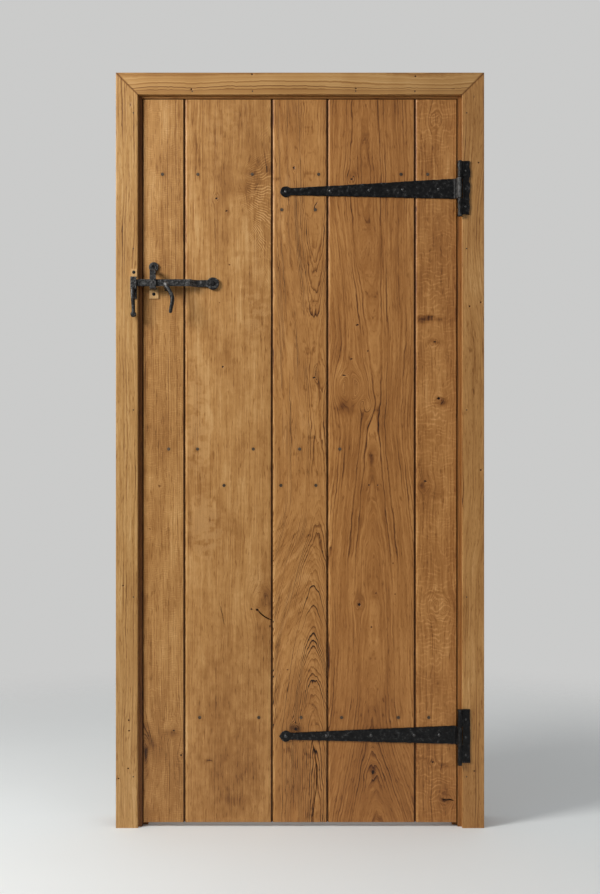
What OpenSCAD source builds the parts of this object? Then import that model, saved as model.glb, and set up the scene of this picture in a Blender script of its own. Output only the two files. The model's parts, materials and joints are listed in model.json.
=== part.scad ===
// An oak plank door hung in its frame. X runs to the right as seen from the face side,
// Y runs from the face side to the rear and Z runs up from the floor.

/* [Leaf] */
// Width of the boarded leaf
leaf_w = 858; // [846:1:870]
// Height of the leaf
leaf_h = 1981; // [1940:1:2040]
// Thickness of the planks
plank_t = 21; // [19:0.5:24]
// Face width of the two wide planks
wide_plank_w = 240; // [232:1:246]
// Face width of the middle plank
middle_plank_w = 152; // [140:1:160]
// Bevel on each side of a plank joint
joint_bevel = 3.2; // [2:0.1:4]
// Open gap between two planks at the bottom of their bevels
joint_gap = 2; // [0.5:0.1:3]
// Reach of each tongue into the next plank
tongue_l = 8; // [6:0.5:10]
// Thickness of the tongues
tongue_t = 7; // [6:0.5:8]
// Height of the three ledges behind the planks
ledge_h = 150; // [136:1:160]
// Thickness of the ledges
ledge_t = 25; // [21:0.5:28]

/* [Frame] */
// Gap between the leaf and the lining at the sides and the top
leaf_gap = 3; // [2.5:0.1:4]
// Gap between the leaf and the floor
floor_gap = 12; // [6:1:18]
// Thickness of the lining boards
lining_t = 30; // [27:1:36]
// Depth of the lining from its front edge to its back edge
lining_d = 100; // [92:1:130]
// Width of the architraves
architrave_w = 60; // [55:1:70]
// Thickness of the architraves
architrave_t = 15; // [13:0.5:16]
// Edge of the side linings left showing beside the architraves
side_reveal = 11; // [10:0.5:12]
// Edge of the head lining left showing under the architrave
top_reveal = 7; // [5:0.5:9]
// Thickness of the planted stops
stop_t = 13; // [11:0.5:14]
// Depth of the planted stops
stop_d = 35; // [30:1:38]
// Depth of the housings that take the tops of the jambs
housing_d = 10; // [6:0.5:14]
// Diameter of the fixing holes through the jambs
fixing_hole_d = 7; // [5:0.5:9]

/* [Hinges] */
// Distance from the top of the leaf down to the upper hinge
upper_hinge_in = 245; // [210:1:270]
// Distance from the foot of the leaf up to the lower hinge
lower_hinge_in = 240; // [210:1:280]
// Height of the upper strap at its knuckle
upper_strap_w = 56; // [50:1:60]
// Height of the lower strap at its knuckle
lower_strap_w = 51; // [46:1:56]
// Height of the straps just before their round ends
strap_tip_w = 19.5; // [16:0.5:24]
// Reach of the straps from the pin to the centre of the round end
strap_reach = 475; // [450:1:490]
// Radius of the round ends of the straps
strap_end_r = 15.5; // [13:0.5:18]
// Length by which the end of the lower strap is drawn out past its round to a point
strap_point = 3; // [1:0.5:6]
// Thickness of the straps and of the plates
strap_t = 3.5; // [3:0.1:4]
// Fall of the upper strap from its knuckle to its tip
upper_strap_drop = 8; // [0:0.5:10]
// Fall of the lower strap from its knuckle to its tip
lower_strap_drop = 4; // [0:0.5:8]
// Height of the hinge plates
plate_h = 147; // [138:1:156]
// Width of the hinge plates beyond the pin
plate_w = 29; // [26:1:32]
// Radius of the hinge barrels
barrel_r = 6.5; // [6:0.1:6.8]
// Radius of the hinge pins
pin_r = 3; // [2.5:0.1:3.5]

/* [Latch] */
// Distance from the top of the leaf down to the centre line of the latch bar
latch_in = 505; // [480:1:560]
// Height of the latch bar
bar_h = 18.5; // [15:0.5:20]
// Thickness of the latch bar
bar_t = 6; // [5:0.5:6.5]
// Distance from the lock edge of the leaf to the pivot of the bar
pivot_in = 190.5; // [180:0.5:200]
// Distance from the lock edge of the leaf to the staple
staple_in = 28.5; // [26:0.5:30]
// Distance from the lock edge of the leaf to the thumb lever
lever_in = 63; // [60:0.5:66]
// Width of the staple and of the catch
keep_w = 16.5; // [14:0.5:18]
// Thickness of the small pads under the staple and over the catch
pad_t = 3; // [2.5:0.1:3.5]
// Diameter of the grip of the pull handle
grip_d = 13; // [11:0.5:15]
// Clear height between the legs of the pull handle
grip_l = 110; // [100:1:120]
// Distance of the grip's centre line from the back of its plate
grip_stand = 44; // [40:1:48]

/* [Hidden] */
$fn = 48;

oak_light = [0.74, 0.57, 0.36];
oak_mid = [0.68, 0.50, 0.30];
oak_dark = [0.58, 0.41, 0.24];
black_iron = [0.13, 0.13, 0.13];
grey_iron = [0.25, 0.25, 0.24];

// Clearance round pins and shanks in their holes
fit = 0.05;
// Clearance between faces that pass close to each other
slack = 0.3;
// Length by which a cutter runs past the face that it opens
past = 1;

// Planes of the frame, with the face of the front architraves at depth 0
half_leaf = leaf_w / 2;
jamb_in = half_leaf + leaf_gap;
jamb_out = jamb_in + lining_t;
trim_in = jamb_in + side_reveal;
trim_out = trim_in + architrave_w;
leaf_z0 = floor_gap;
leaf_z1 = floor_gap + leaf_h;
upper_hinge_z = leaf_z1 - upper_hinge_in;
lower_hinge_z = leaf_z0 + lower_hinge_in;
latch_z = leaf_z1 - latch_in;
head_z0 = leaf_z1 + leaf_gap;
head_z1 = head_z0 + lining_t;
trim_z0 = head_z0 + top_reveal;
trim_z1 = trim_z0 + architrave_w;
lining_y0 = architrave_t;
lining_y1 = lining_y0 + lining_d;
frame_y1 = lining_y1 + architrave_t;
leaf_y0 = lining_y0;
leaf_y1 = leaf_y0 + plank_t;
leaf_mid_y = (leaf_y0 + leaf_y1) / 2;
stop_gap = 1;
stop_y0 = leaf_y1 + stop_gap;
stop_y1 = stop_y0 + stop_d;
stop_mid_y = (stop_y0 + stop_y1) / 2;
arris = 3.5;
small_arris = 1;

// Plank edges from left to right
edge_plank_w = (leaf_w - middle_plank_w - 2 * wide_plank_w) / 2;
plank_x = [
    -half_leaf,
    -half_leaf + edge_plank_w,
    -middle_plank_w / 2,
    middle_plank_w / 2,
    half_leaf - edge_plank_w,
    half_leaf
];
last_plank = len(plank_x) - 2;
tongue_slack = 0.25;

// Ledges, from the lowest to the highest
middle_ledge_z = (upper_hinge_z + lower_hinge_z) / 2;
ledge_z = [lower_hinge_z, middle_ledge_z, upper_hinge_z];
ledge_end_gap = 12;
ledge_x = jamb_in - stop_t - ledge_end_gap;
ledge_y1 = leaf_y1 + ledge_t;
ledge_bevel = 6;

// Nails of each ledge: plank, part of its width from its left edge, part of the ledge's height
// over its middle
ledge_nails = [
    [[1, 0.171, 0.313], [1, 0.846, 0.313], [2, 0.52, 0.313], [3, 0.158, 0.313],
     [3, 0.808, 0.313], [4, 0.327, 0.313]],
    [[0, 0.611, 0.233], [1, 0.146, 0.233], [1, 0.783, 0.233], [2, 0.493, 0.233],
     [3, 0.138, 0.233], [1, 0.449, -0.432], [2, 0.155, -0.432], [2, 0.786, -0.432]],
    [[0, 0.46, 0.267], [1, 0.15, 0.267], [1, 0.771, 0.267], [2, 0.836, 0.267],
     [3, 0.838, 0.267], [4, 0.301, 0.267], [2, 0.171, -0.38], [2, 0.776, -0.38]]
];
nail_head_r = 4.4;
nail_head_h = 1.4;
nail_proud = 0.3;
nail_r = 1.7;
nail_l = plank_t + 0.8 * ledge_t;

// Frame fixings
brad_r = 1.3;
brad_head_r = 1.9;
brad_head_h = 1.2;
trim_brad_bite = 25;
trim_brad_l = architrave_t + trim_brad_bite;
trim_brad_in = 12;
trim_brad_up = 9;
leg_brad_z = [for (f = [0.07, 0.315, 0.57, 0.79, 0.975]) f * trim_z0];
head_brad_x = [for (f = [-0.665, -0.293, 0.343, 0.708]) f * trim_in];
stop_brad_bite = 18;
stop_brad_l = stop_t + stop_brad_bite;
stop_brad_z = [for (f = [0.08, 0.36, 0.64, 0.92]) f * head_z0];
stop_brad_x = [for (f = [-0.75, 0, 0.75]) f * jamb_in];
frame_screw_r = 2.4;
frame_screw_head_r = 4.5;
frame_screw_head_h = 2.5;
frame_screw_bite = 35;
frame_screw_l = lining_t + frame_screw_bite;
frame_screw_y = [for (f = [0.25, 0.75]) lining_y0 + f * lining_d];
fixing_z = [for (f = [0.1, 0.365, 0.635, 0.9]) f * head_z0];
fixing_y = (stop_y1 + lining_y1) / 2;

// Hinges
pin_x = trim_in - 7;
pin_y = -barrel_r;
knuckle_gap = 0.5;
barrel_tail = 6;
plate_x0 = pin_x + barrel_r + 1.5;
plate_x1 = pin_x + plate_w;
plate_screw_x = plate_x0 + 0.38 * (plate_x1 - plate_x0);
plate_screw_up = [for (f = [-0.35, -0.02, 0.31]) f * plate_h];
plate_screw_l = 38;
crank_x = half_leaf - 5;
crank_from = [crank_x, leaf_y0 - strap_t / 2];
crank_to = [pin_x - 0.7 * barrel_r, pin_y + 0.5 * barrel_r];
strap_neck_x = pin_x - strap_reach + 0.5 * strap_end_r;
strap_screw_l = strap_t + plank_t + 15;
strap_screw_r = 2.2;
strap_head_r = 4.2;
strap_head_h = 2.2;
// Screws along the straps, as parts of the reach from the pin to the round end
upper_strap_screws_at = [0.118, 0.325, 0.519, 0.744, 1];
lower_strap_screws_at = [0.115, 0.26, 0.508, 0.765, 1];

// Latch bar
lock_x = -half_leaf;
pivot_x = lock_x + pivot_in;
staple_x = lock_x + staple_in;
lever_x = lock_x + lever_in;
catch_x = -trim_in - keep_w / 2 - 2;
bar_y1 = -pad_t - 1;
bar_y0 = bar_y1 - bar_t;
bar_z0 = latch_z - bar_h / 2;
bar_z1 = latch_z + bar_h / 2;
bar_end_x = catch_x - 3;
washer_t = 1;
eye_y1 = leaf_y0 - washer_t;
eye_y0 = eye_y1 - bar_t;
eye_r = bar_h / 2 + 7.5;
joggle_x0 = pivot_x - 44;
joggle_x1 = joggle_x0 - 18;
joggle_shift = 2.5;
pivot_r = 4;
pivot_head_r = 7.4;
pivot_head_h = 2.4;
pivot_recess_r = 5.2;
pivot_recess_d = 1.6;
pivot_shank_r = 3;
pivot_shank_l = plank_t - 3;

// Staple
keep_t = 4.5;
staple_clear = 22;
staple_y0 = bar_y0 - 1 - keep_t;
staple_z0 = bar_z0 - 3.2 - keep_t;
staple_z1 = bar_z1 + staple_clear + keep_t;
staple_eye_r = 13.4;
staple_eye_z = staple_z1 + 0.7 * staple_eye_r;
staple_corner = 4;
spike_w = 8;
spike_l = plank_t - 3;
staple_pad_w = 25;
staple_pad_z0 = staple_z0 - 24;
staple_pad_z1 = staple_z0 + keep_t + 3;
staple_pad_y0 = leaf_y0 - pad_t;
staple_pad_screw_z = staple_pad_z0 + 12;
small_screw_r = 2;
small_head_r = 4.6;
small_head_h = 2;
small_screw_l = plank_t - 5;

// Catch
catch_y0 = bar_y0 - 1 - keep_t;
catch_shelf_z = bar_z0 - slack;
catch_shelf_t = 8;
catch_plate_z0 = catch_shelf_z - 33;
catch_lip_z = bar_z1 + 4.5;
catch_screw_z = catch_shelf_z - 22;
catch_pad_z0 = bar_z1 + 7.5;
catch_pad_z1 = catch_pad_z0 + 22;
catch_pad_screw_z = catch_pad_z0 + 12.5;
catch_screw_l = architrave_t + 22;
catch_ball_r = 8;
catch_tail_l = 77;

// Thumb lever
lever_w = 8;
lever_h = 8;
lever_z = bar_z0 - slack - lever_h / 2;
lever_pin_y = leaf_y1 + 10;
lever_pin_r = 2;
lever_boss_r = 7;
lever_slot_w = lever_w + 3;
lever_slot_z0 = lever_z - lever_h / 2 - 2.5;
lever_slot_z1 = lever_z + lever_h / 2 + 14;
lever_front_y = bar_y0 - 2;
press_r = 16;
press_t = 4;
press_y = lever_pin_y + 31;
press_dish_r = 60;
press_dish_d = 1.6;
tail_r = 5.5;
tail_end_r = 4.4;
tail_out = 23.1;
lever_reach = tail_out + tail_r - bar_y0;

// Pull handle on the rear of the leaf
handle_t = 3;
handle_y1 = leaf_y1 + handle_t;
handle_w = 44;
handle_z1 = lever_z + 40;
handle_head_h = 92;
handle_z0 = handle_z1 - handle_head_h - grip_l;
handle_end_r = 17;
grip_r = grip_d / 2;
grip_root_y = leaf_y1 + 1;
grip_y = handle_y1 + grip_stand - grip_r;
grip_z0 = handle_z0 + 17;
grip_z1 = grip_z0 + grip_l;
handle_screw_l = plank_t - 6;
ear_t = 3;
ear_gap = 0.5;
ear_r = 9;
ear_x = lever_w / 2 + ear_gap;

// Depth of the architrave face, which puts the middle of the whole depth at 0
face_y = -(frame_y1 - lever_reach) / 2;

// Placing and drawing helpers

// Depths are counted from the face of the front architraves
module at_face() {
    translate([0, face_y, 0]) children();
}

// An outline in X and Z, drawn out from depth y0 to y1
module elevation(y0, y1) {
    translate([0, y1, 0]) rotate([90, 0, 0]) linear_extrude(y1 - y0) children();
}

// An outline in X and Y, drawn up from height z0 to z1
module plan(z0, z1) {
    translate([0, 0, z0]) linear_extrude(z1 - z0) children();
}

// An outline in Y and Z, drawn across from x0 to x1
module section(x0, x1) {
    translate([x0, 0, 0]) rotate([90, 0, 90]) linear_extrude(x1 - x0) children();
}

module block(low, high) {
    translate(low) cube(high - low);
}

// Turns the Z axis of a fastener to point along Y, or against it with way = -1
module along_y(place, way = 1) {
    translate(place) rotate([-90 * way, 0, 0]) children();
}

// Turns the Z axis of a fastener to point along X, or against it with way = -1
module along_x(place, way = 1) {
    translate(place) rotate([0, 90 * way, 0]) children();
}

module down(place) {
    translate(place) rotate([180, 0, 0]) children();
}

// A low domed cap that stands on the plane Z = 0 and points down
module dome(r, h) {
    ball_r = (r * r + h * h) / (2 * h);
    intersection() {
        translate([0, 0, ball_r - h]) sphere(ball_r);
        translate([0, 0, -h]) cylinder(r = r + past, h = h);
    }
}

// A screw with a domed head, seated at Z = 0 and running up
module dome_screw(head_r, head_h, r, l) {
    dome(head_r, head_h);
    cylinder(r = r, h = l - 2 * r);
    translate([0, 0, l - 2 * r]) cylinder(r1 = r, r2 = 0.2 * r, h = 2 * r);
}

// A nail or screw with a flat head let into the face at Z = 0, standing a little proud
module flush_nail(head_r, head_h, r, l, proud = 0) {
    translate([0, 0, -proud]) cylinder(r = head_r, h = head_h + proud);
    cylinder(r = r, h = l - 2 * r);
    translate([0, 0, l - 2 * r]) cylinder(r1 = r, r2 = 0.2 * r, h = 2 * r);
}

module shank_hole(r, l) {
    translate([0, 0, -past]) cylinder(r = r + fit, h = l + past + fit);
}

module flush_hole(head_r, head_h, r, l) {
    translate([0, 0, -past]) cylinder(r = head_r + fit, h = head_h + past);
    shank_hole(r, l);
}

// Smooth curve through a list of places, with steps points to each stretch
function spline(p, steps) = [
    for (i = [0 : len(p) - 2])
        for (k = [0 : (i == len(p) - 2 ? steps : steps - 1)])
            curve_point(p[max(i - 1, 0)], p[i], p[i + 1], p[min(i + 2, len(p) - 1)], k / steps)
];

function curve_point(a, b, c, d, t) =
    0.5 * (2 * b + t * (c - a) + t * t * (2 * a - 5 * b + 4 * c - d)
    + t * t * t * (3 * b - a - 3 * c + d));

function unit(v) = v / norm(v);

function heading(path, i) =
    unit(path[min(i + 1, len(path) - 1)] - path[max(i - 1, 0)]);

function place(p) = [p.x, p.y, p.z];

// The path with a few more places past its end, where the rod closes as a half ball
function round_ended(path) =
    let (
        last = path[len(path) - 1],
        ahead = unit(place(last) - place(path[len(path) - 2]))
    )
    concat(path, [
        for (turn = [30, 60, 84])
            concat(place(last) + last[3] * sin(turn) * ahead, [last[3] * cos(turn)])
    ]);

// A round rod along a path, whose places are [x, y, z, radius]
module swept_rod(path, sides = 14) {
    centres = [for (p = path) place(p)];
    rings = [
        for (i = [0 : len(path) - 1])
            let (
                ahead = heading(centres, i),
                across = unit(cross(ahead, [1, 0, 0])),
                over = cross(ahead, across)
            )
            for (k = [0 : sides - 1])
                let (turn = 360 * k / sides)
                centres[i] + path[i][3] * (cos(turn) * across + sin(turn) * over)
    ];
    last = len(path) - 1;
    walls = [
        for (i = [0 : last - 1])
            for (k = [0 : sides - 1])
                let (n = (k + 1) % sides)
                [i * sides + k, (i + 1) * sides + k, (i + 1) * sides + n, i * sides + n]
    ];
    first_cap = [[for (k = [0 : sides - 1]) k]];
    last_cap = [[for (k = [sides - 1 : -1 : 0]) last * sides + k]];
    polyhedron(rings, concat(walls, first_cap, last_cap));
}

// Frame

module lining_screw_holes() {
    for (s = [-1, 1])
        for (y = frame_screw_y)
            down([s * (jamb_in + lining_t / 2), y, head_z1])
                flush_hole(frame_screw_head_r, frame_screw_head_h, frame_screw_r, frame_screw_l);
}

// Nails of the architraves: each place is [x, z]
function trim_brads() = concat(
    [for (s = [-1, 1]) for (z = leg_brad_z) [s * (trim_in + trim_brad_in), z]],
    [for (x = head_brad_x) [x, trim_z0 + trim_brad_up]]
);

module trim_brad_holes() {
    for (p = trim_brads()) {
        along_y([p.x, 0, p.y]) flush_hole(brad_head_r, brad_head_h, brad_r, trim_brad_l);
        along_y([p.x, frame_y1, p.y], -1)
            flush_hole(brad_head_r, brad_head_h, brad_r, trim_brad_l);
    }
}

module stop_brads() {
    for (s = [-1, 1])
        for (z = stop_brad_z)
            along_x([s * (jamb_in - stop_t), stop_mid_y, z], s) children();
    for (x = stop_brad_x)
        translate([x, stop_mid_y, head_z0 - stop_t]) children();
}

module stop_brad_holes() {
    stop_brads() flush_hole(brad_head_r, brad_head_h, brad_r, stop_brad_l);
}

module plate_screw_places(hinge_z) {
    for (up = plate_screw_up)
        along_y([plate_screw_x, -strap_t, hinge_z + up]) children();
}

module plate_screw_holes() {
    for (z = [lower_hinge_z, upper_hinge_z])
        plate_screw_places(z) shank_hole(small_screw_r, plate_screw_l);
}

module catch_screw_place() {
    along_y([catch_x, -keep_t, catch_screw_z]) children();
}

module catch_pad_screw_place() {
    along_y([catch_x, -pad_t, catch_pad_screw_z]) children();
}

module catch_screw_holes() {
    catch_screw_place() shank_hole(small_screw_r, catch_screw_l);
    catch_pad_screw_place() flush_hole(small_head_r, small_head_h, small_screw_r, catch_screw_l);
}

module jamb(s) {
    near = min(s * jamb_in, s * jamb_out);
    difference() {
        block([near, lining_y0, 0], [near + lining_t, lining_y1, head_z0 + housing_d]);
        lining_screw_holes();
        trim_brad_holes();
        stop_brad_holes();
        for (z = fixing_z)
            along_x([near - past, fixing_y, z])
                cylinder(d = fixing_hole_d, h = lining_t + 2 * past);
        if (s > 0) plate_screw_holes();
        if (s < 0) catch_screw_holes();
    }
}

module left_jamb() {
    color(oak_dark) at_face() jamb(-1);
}

module right_jamb() {
    color(oak_dark) at_face() jamb(1);
}

module head_lining() {
    color(oak_dark) at_face() difference() {
        block([-jamb_out, lining_y0, head_z0], [jamb_out, lining_y1, head_z1]);
        for (s = [-1, 1])
            block(
                [s > 0 ? jamb_in : -jamb_out - past, lining_y0 - past, head_z0 - past],
                [s > 0 ? jamb_out + past : -jamb_in, lining_y1 + past, head_z0 + housing_d]
            );
        lining_screw_holes();
        trim_brad_holes();
        stop_brad_holes();
    }
}

module side_stop(s) {
    near = s > 0 ? jamb_in - stop_t : -jamb_in;
    difference() {
        block([near, stop_y0, 0], [near + stop_t, stop_y1, head_z0]);
        stop_brad_holes();
    }
}

module left_stop() {
    color(oak_mid) at_face() side_stop(-1);
}

module right_stop() {
    color(oak_mid) at_face() side_stop(1);
}

module head_stop() {
    across = jamb_in - stop_t;
    color(oak_mid) at_face() difference() {
        block([-across, stop_y0, head_z0 - stop_t], [across, stop_y1, head_z0]);
        stop_brad_holes();
    }
}

// Outline of the trim across its width, from its inner edge u = 0, with eased outer arrises
module trim_profile() {
    polygon([
        [0, architrave_t], [0, arris], [arris, 0], [architrave_w - small_arris, 0],
        [architrave_w, small_arris], [architrave_w, architrave_t]
    ]);
}

module trim_leg() {
    intersection() {
        plan(0, trim_z1) translate([trim_in, 0]) trim_profile();
        elevation(-past, architrave_t + past)
            polygon([[trim_in, 0], [trim_out, 0], [trim_out, trim_z1], [trim_in, trim_z0]]);
    }
}

module trim_head() {
    intersection() {
        translate([-trim_out, 0, trim_z0]) rotate([90, 0, 90])
            linear_extrude(2 * trim_out) mirror([1, -1]) trim_profile();
        elevation(-past, architrave_t + past)
            polygon([
                [-trim_in, trim_z0], [trim_in, trim_z0], [trim_out, trim_z1], [-trim_out, trim_z1]
            ]);
    }
}

// Trim for the rear is the same piece turned to face the other way
module on_side(rear) {
    if (rear) translate([0, frame_y1, 0]) mirror([0, 1, 0]) children();
    else children();
}

module architrave_leg(s, rear) {
    difference() {
        on_side(rear) mirror([s > 0 ? 0 : 1, 0, 0]) trim_leg();
        trim_brad_holes();
        if (s > 0 && !rear) plate_screw_holes();
        if (s < 0 && !rear) catch_screw_holes();
    }
}

module architrave_head(rear) {
    difference() {
        on_side(rear) trim_head();
        trim_brad_holes();
    }
}

module front_left_architrave() {
    color(oak_light) at_face() architrave_leg(-1, false);
}

module front_right_architrave() {
    color(oak_mid) at_face() architrave_leg(1, false);
}

module front_head_architrave() {
    color(oak_mid) at_face() architrave_head(false);
}

module back_left_architrave() {
    color(oak_light) at_face() architrave_leg(-1, true);
}

module back_right_architrave() {
    color(oak_mid) at_face() architrave_leg(1, true);
}

module back_head_architrave() {
    color(oak_mid) at_face() architrave_head(true);
}

module front_architrave_nails() {
    color(grey_iron) at_face()
        for (p = trim_brads())
            along_y([p.x, 0, p.y]) flush_nail(brad_head_r, brad_head_h, brad_r, trim_brad_l);
}

module back_architrave_nails() {
    color(grey_iron) at_face()
        for (p = trim_brads())
            along_y([p.x, frame_y1, p.y], -1)
                flush_nail(brad_head_r, brad_head_h, brad_r, trim_brad_l);
}

module stop_nails() {
    color(grey_iron) at_face() stop_brads()
        flush_nail(brad_head_r, brad_head_h, brad_r, stop_brad_l);
}

module lining_screws() {
    color(grey_iron) at_face()
        for (s = [-1, 1])
            for (y = frame_screw_y)
                down([s * (jamb_in + lining_t / 2), y, head_z1])
                    flush_nail(frame_screw_head_r, frame_screw_head_h, frame_screw_r,
                        frame_screw_l);
}

// Hinges

module hinge_plate(hinge_z, strap_w) {
    top = hinge_z + plate_h / 2;
    bottom = hinge_z - plate_h / 2;
    above = hinge_z + strap_w / 2 + knuckle_gap;
    below = hinge_z - strap_w / 2 - knuckle_gap;
    difference() {
        union() {
            block([plate_x0, -strap_t, bottom], [plate_x1, 0, top]);
            block([pin_x, -strap_t, above], [plate_x0 + past, 0, top]);
            block([pin_x, -strap_t, bottom], [plate_x0 + past, 0, below]);
            translate([pin_x, pin_y, above]) cylinder(r = barrel_r, h = top - above);
            translate([pin_x, pin_y, bottom - barrel_tail])
                cylinder(r = barrel_r, h = below - bottom + barrel_tail);
        }
        translate([pin_x, pin_y, bottom - barrel_tail - past])
            cylinder(r = pin_r + fit, h = plate_h + barrel_tail + 2 * past);
        plate_screw_places(hinge_z) shank_hole(small_screw_r, plate_screw_l);
    }
}

module upper_hinge_plate() {
    color(black_iron) at_face() hinge_plate(upper_hinge_z, upper_strap_w);
}

module lower_hinge_plate() {
    color(black_iron) at_face() hinge_plate(lower_hinge_z, lower_strap_w);
}

module hinge_pin(hinge_z) {
    translate([pin_x, pin_y, hinge_z - plate_h / 2 - barrel_tail])
        cylinder(r = pin_r, h = plate_h + barrel_tail);
}

module upper_hinge_pin() {
    color(grey_iron) at_face() hinge_pin(upper_hinge_z);
}

module lower_hinge_pin() {
    color(grey_iron) at_face() hinge_pin(lower_hinge_z);
}

module upper_plate_screws() {
    color(grey_iron) at_face() plate_screw_places(upper_hinge_z)
        dome_screw(0.85 * strap_head_r, strap_head_h, small_screw_r, plate_screw_l);
}

module lower_plate_screws() {
    color(grey_iron) at_face() plate_screw_places(lower_hinge_z)
        dome_screw(0.85 * strap_head_r, strap_head_h, small_screw_r, plate_screw_l);
}

// Place on a line through p with direction d at the depth y
function at_depth(p, d, y) = p + d * (y - p.y) / d.y;

// Outline of the strap in plan: flat on the planks, then cranked out to the barrel
module strap_plan() {
    d = unit(crank_to - crank_from);
    side = [-d.y, d.x] * strap_t / 2;
    end_x = pin_x - strap_reach - strap_end_r - past;
    polygon([
        [end_x, leaf_y0 - strap_t],
        at_depth(crank_from - side, d, leaf_y0 - strap_t),
        crank_to - side,
        crank_to + side,
        at_depth(crank_from + side, d, leaf_y0),
        [end_x, leaf_y0]
    ]);
}

// Face outline of the strap: full height at the knuckle, tapering to the round end
module strap_face(hinge_z, strap_w, drop) {
    tip_z = hinge_z - drop;
    right_x = pin_x + barrel_r + past;
    polygon([
        [right_x, hinge_z + strap_w / 2], [right_x, hinge_z - strap_w / 2],
        [crank_x - strap_t, hinge_z - strap_w / 2],
        [strap_neck_x, tip_z - strap_tip_w / 2], [strap_neck_x, tip_z + strap_tip_w / 2],
        [crank_x - strap_t, hinge_z + strap_w / 2]
    ]);
}

module strap_screw_places(hinge_z, drop, parts) {
    for (f = parts)
        along_y([pin_x - f * strap_reach, leaf_y0 - strap_t, hinge_z - f * drop]) children();
}

// A point drawn out of the round end, with straight sides that leave the round at 45 degrees
module strap_end_point(hinge_z, drop, point) {
    side = strap_end_r * sqrt(0.5);
    translate([pin_x - strap_reach, hinge_z - drop])
        polygon([[-side, side], [-strap_end_r - point, 0], [-side, -side]]);
}

module hinge_strap(hinge_z, strap_w, drop, parts, point) {
    low = hinge_z - strap_w / 2;
    difference() {
        union() {
            intersection() {
                plan(low - past, low + strap_w + past) strap_plan();
                elevation(pin_y, leaf_y0 + past) strap_face(hinge_z, strap_w, drop);
            }
            along_y([pin_x - strap_reach, leaf_y0 - strap_t, hinge_z - drop])
                cylinder(r = strap_end_r, h = strap_t);
            if (point > 0)
                elevation(leaf_y0 - strap_t, leaf_y0) strap_end_point(hinge_z, drop, point);
            translate([pin_x, pin_y, low]) cylinder(r = barrel_r, h = strap_w);
        }
        translate([pin_x, pin_y, low - past])
            cylinder(r = pin_r + fit, h = strap_w + 2 * past);
        strap_screw_places(hinge_z, drop, parts) shank_hole(strap_screw_r, strap_screw_l);
    }
}

module upper_hinge_strap() {
    color(black_iron) at_face()
        hinge_strap(upper_hinge_z, upper_strap_w, upper_strap_drop, upper_strap_screws_at, 0);
}

module lower_hinge_strap() {
    color(black_iron) at_face()
        hinge_strap(lower_hinge_z, lower_strap_w, lower_strap_drop, lower_strap_screws_at,
            strap_point);
}

module upper_strap_screws() {
    color(grey_iron) at_face()
        strap_screw_places(upper_hinge_z, upper_strap_drop, upper_strap_screws_at)
            dome_screw(strap_head_r, strap_head_h, strap_screw_r, strap_screw_l);
}

module lower_strap_screws() {
    color(grey_iron) at_face()
        strap_screw_places(lower_hinge_z, lower_strap_drop, lower_strap_screws_at)
            dome_screw(strap_head_r, strap_head_h, strap_screw_r, strap_screw_l);
}

module strap_screw_holes() {
    strap_screw_places(upper_hinge_z, upper_strap_drop, upper_strap_screws_at)
        shank_hole(strap_screw_r, strap_screw_l);
    strap_screw_places(lower_hinge_z, lower_strap_drop, lower_strap_screws_at)
        shank_hole(strap_screw_r, strap_screw_l);
}

// Leaf

function nail_x(i, f) = plank_x[i] + f * (plank_x[i + 1] - plank_x[i]);

module ledge_nail_places(i) {
    for (n = ledge_nails[i])
        along_y([nail_x(n[0], n[1]), leaf_y0, ledge_z[i] + n[2] * ledge_h]) children();
}

module ledge_nail_holes(i) {
    ledge_nail_places(i) flush_hole(nail_head_r, nail_head_h, nail_r, nail_l);
}

// Plan outline of a plank: a groove on its left edge, a tongue on its right, none at the ends
module plank_plan(i) {
    x0 = plank_x[i] + (i > 0 ? joint_gap / 2 : 0);
    x1 = plank_x[i + 1] - (i < last_plank ? joint_gap / 2 : 0);
    left = i > 0 ? joint_bevel : small_arris;
    right = i < last_plank ? joint_bevel : small_arris;
    groove = tongue_t / 2 + tongue_slack;
    groove_x = plank_x[i] + tongue_l + 1;
    tongue_x = plank_x[i + 1] + tongue_l;
    tongue = tongue_t / 2;
    groove_points = i > 0 ? [
        [x0, leaf_mid_y + groove], [groove_x, leaf_mid_y + groove],
        [groove_x, leaf_mid_y - groove], [x0, leaf_mid_y - groove]
    ] : [];
    tongue_points = i < last_plank ? [
        [x1, leaf_mid_y - tongue], [tongue_x, leaf_mid_y - tongue],
        [tongue_x, leaf_mid_y + tongue], [x1, leaf_mid_y + tongue]
    ] : [];
    polygon(concat(
        [[x0, leaf_y0 + left], [x0 + left, leaf_y0]],
        [[x1 - right, leaf_y0], [x1, leaf_y0 + right]],
        tongue_points,
        [[x1, leaf_y1 - right], [x1 - right, leaf_y1]],
        [[x0 + left, leaf_y1], [x0, leaf_y1 - left]],
        groove_points
    ));
}

module lever_slot() {
    block(
        [lever_x - lever_slot_w / 2, leaf_y0 - past, lever_slot_z0],
        [lever_x + lever_slot_w / 2, handle_y1 + past, lever_slot_z1]
    );
}

// Hole for the staple's lower leg, through the pad and into the plank
module spike_slot() {
    block(
        [staple_x - spike_w / 2 - fit, staple_pad_y0 - past, staple_z0 - fit],
        [staple_x + spike_w / 2 + fit, leaf_y0 + spike_l + fit, staple_z0 + keep_t + fit]
    );
}

module staple_eye_place() {
    along_y([staple_x, leaf_y0 - keep_t, staple_eye_z]) children();
}

module staple_pad_screw_place() {
    along_y([staple_x, staple_pad_y0, staple_pad_screw_z]) children();
}

module staple_screw_holes() {
    staple_eye_place() flush_hole(small_head_r, keep_t / 2, small_screw_r, small_screw_l);
    staple_pad_screw_place() shank_hole(small_screw_r, small_screw_l);
}

module pivot_place() {
    along_y([pivot_x, leaf_y0, latch_z]) children();
}

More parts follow.
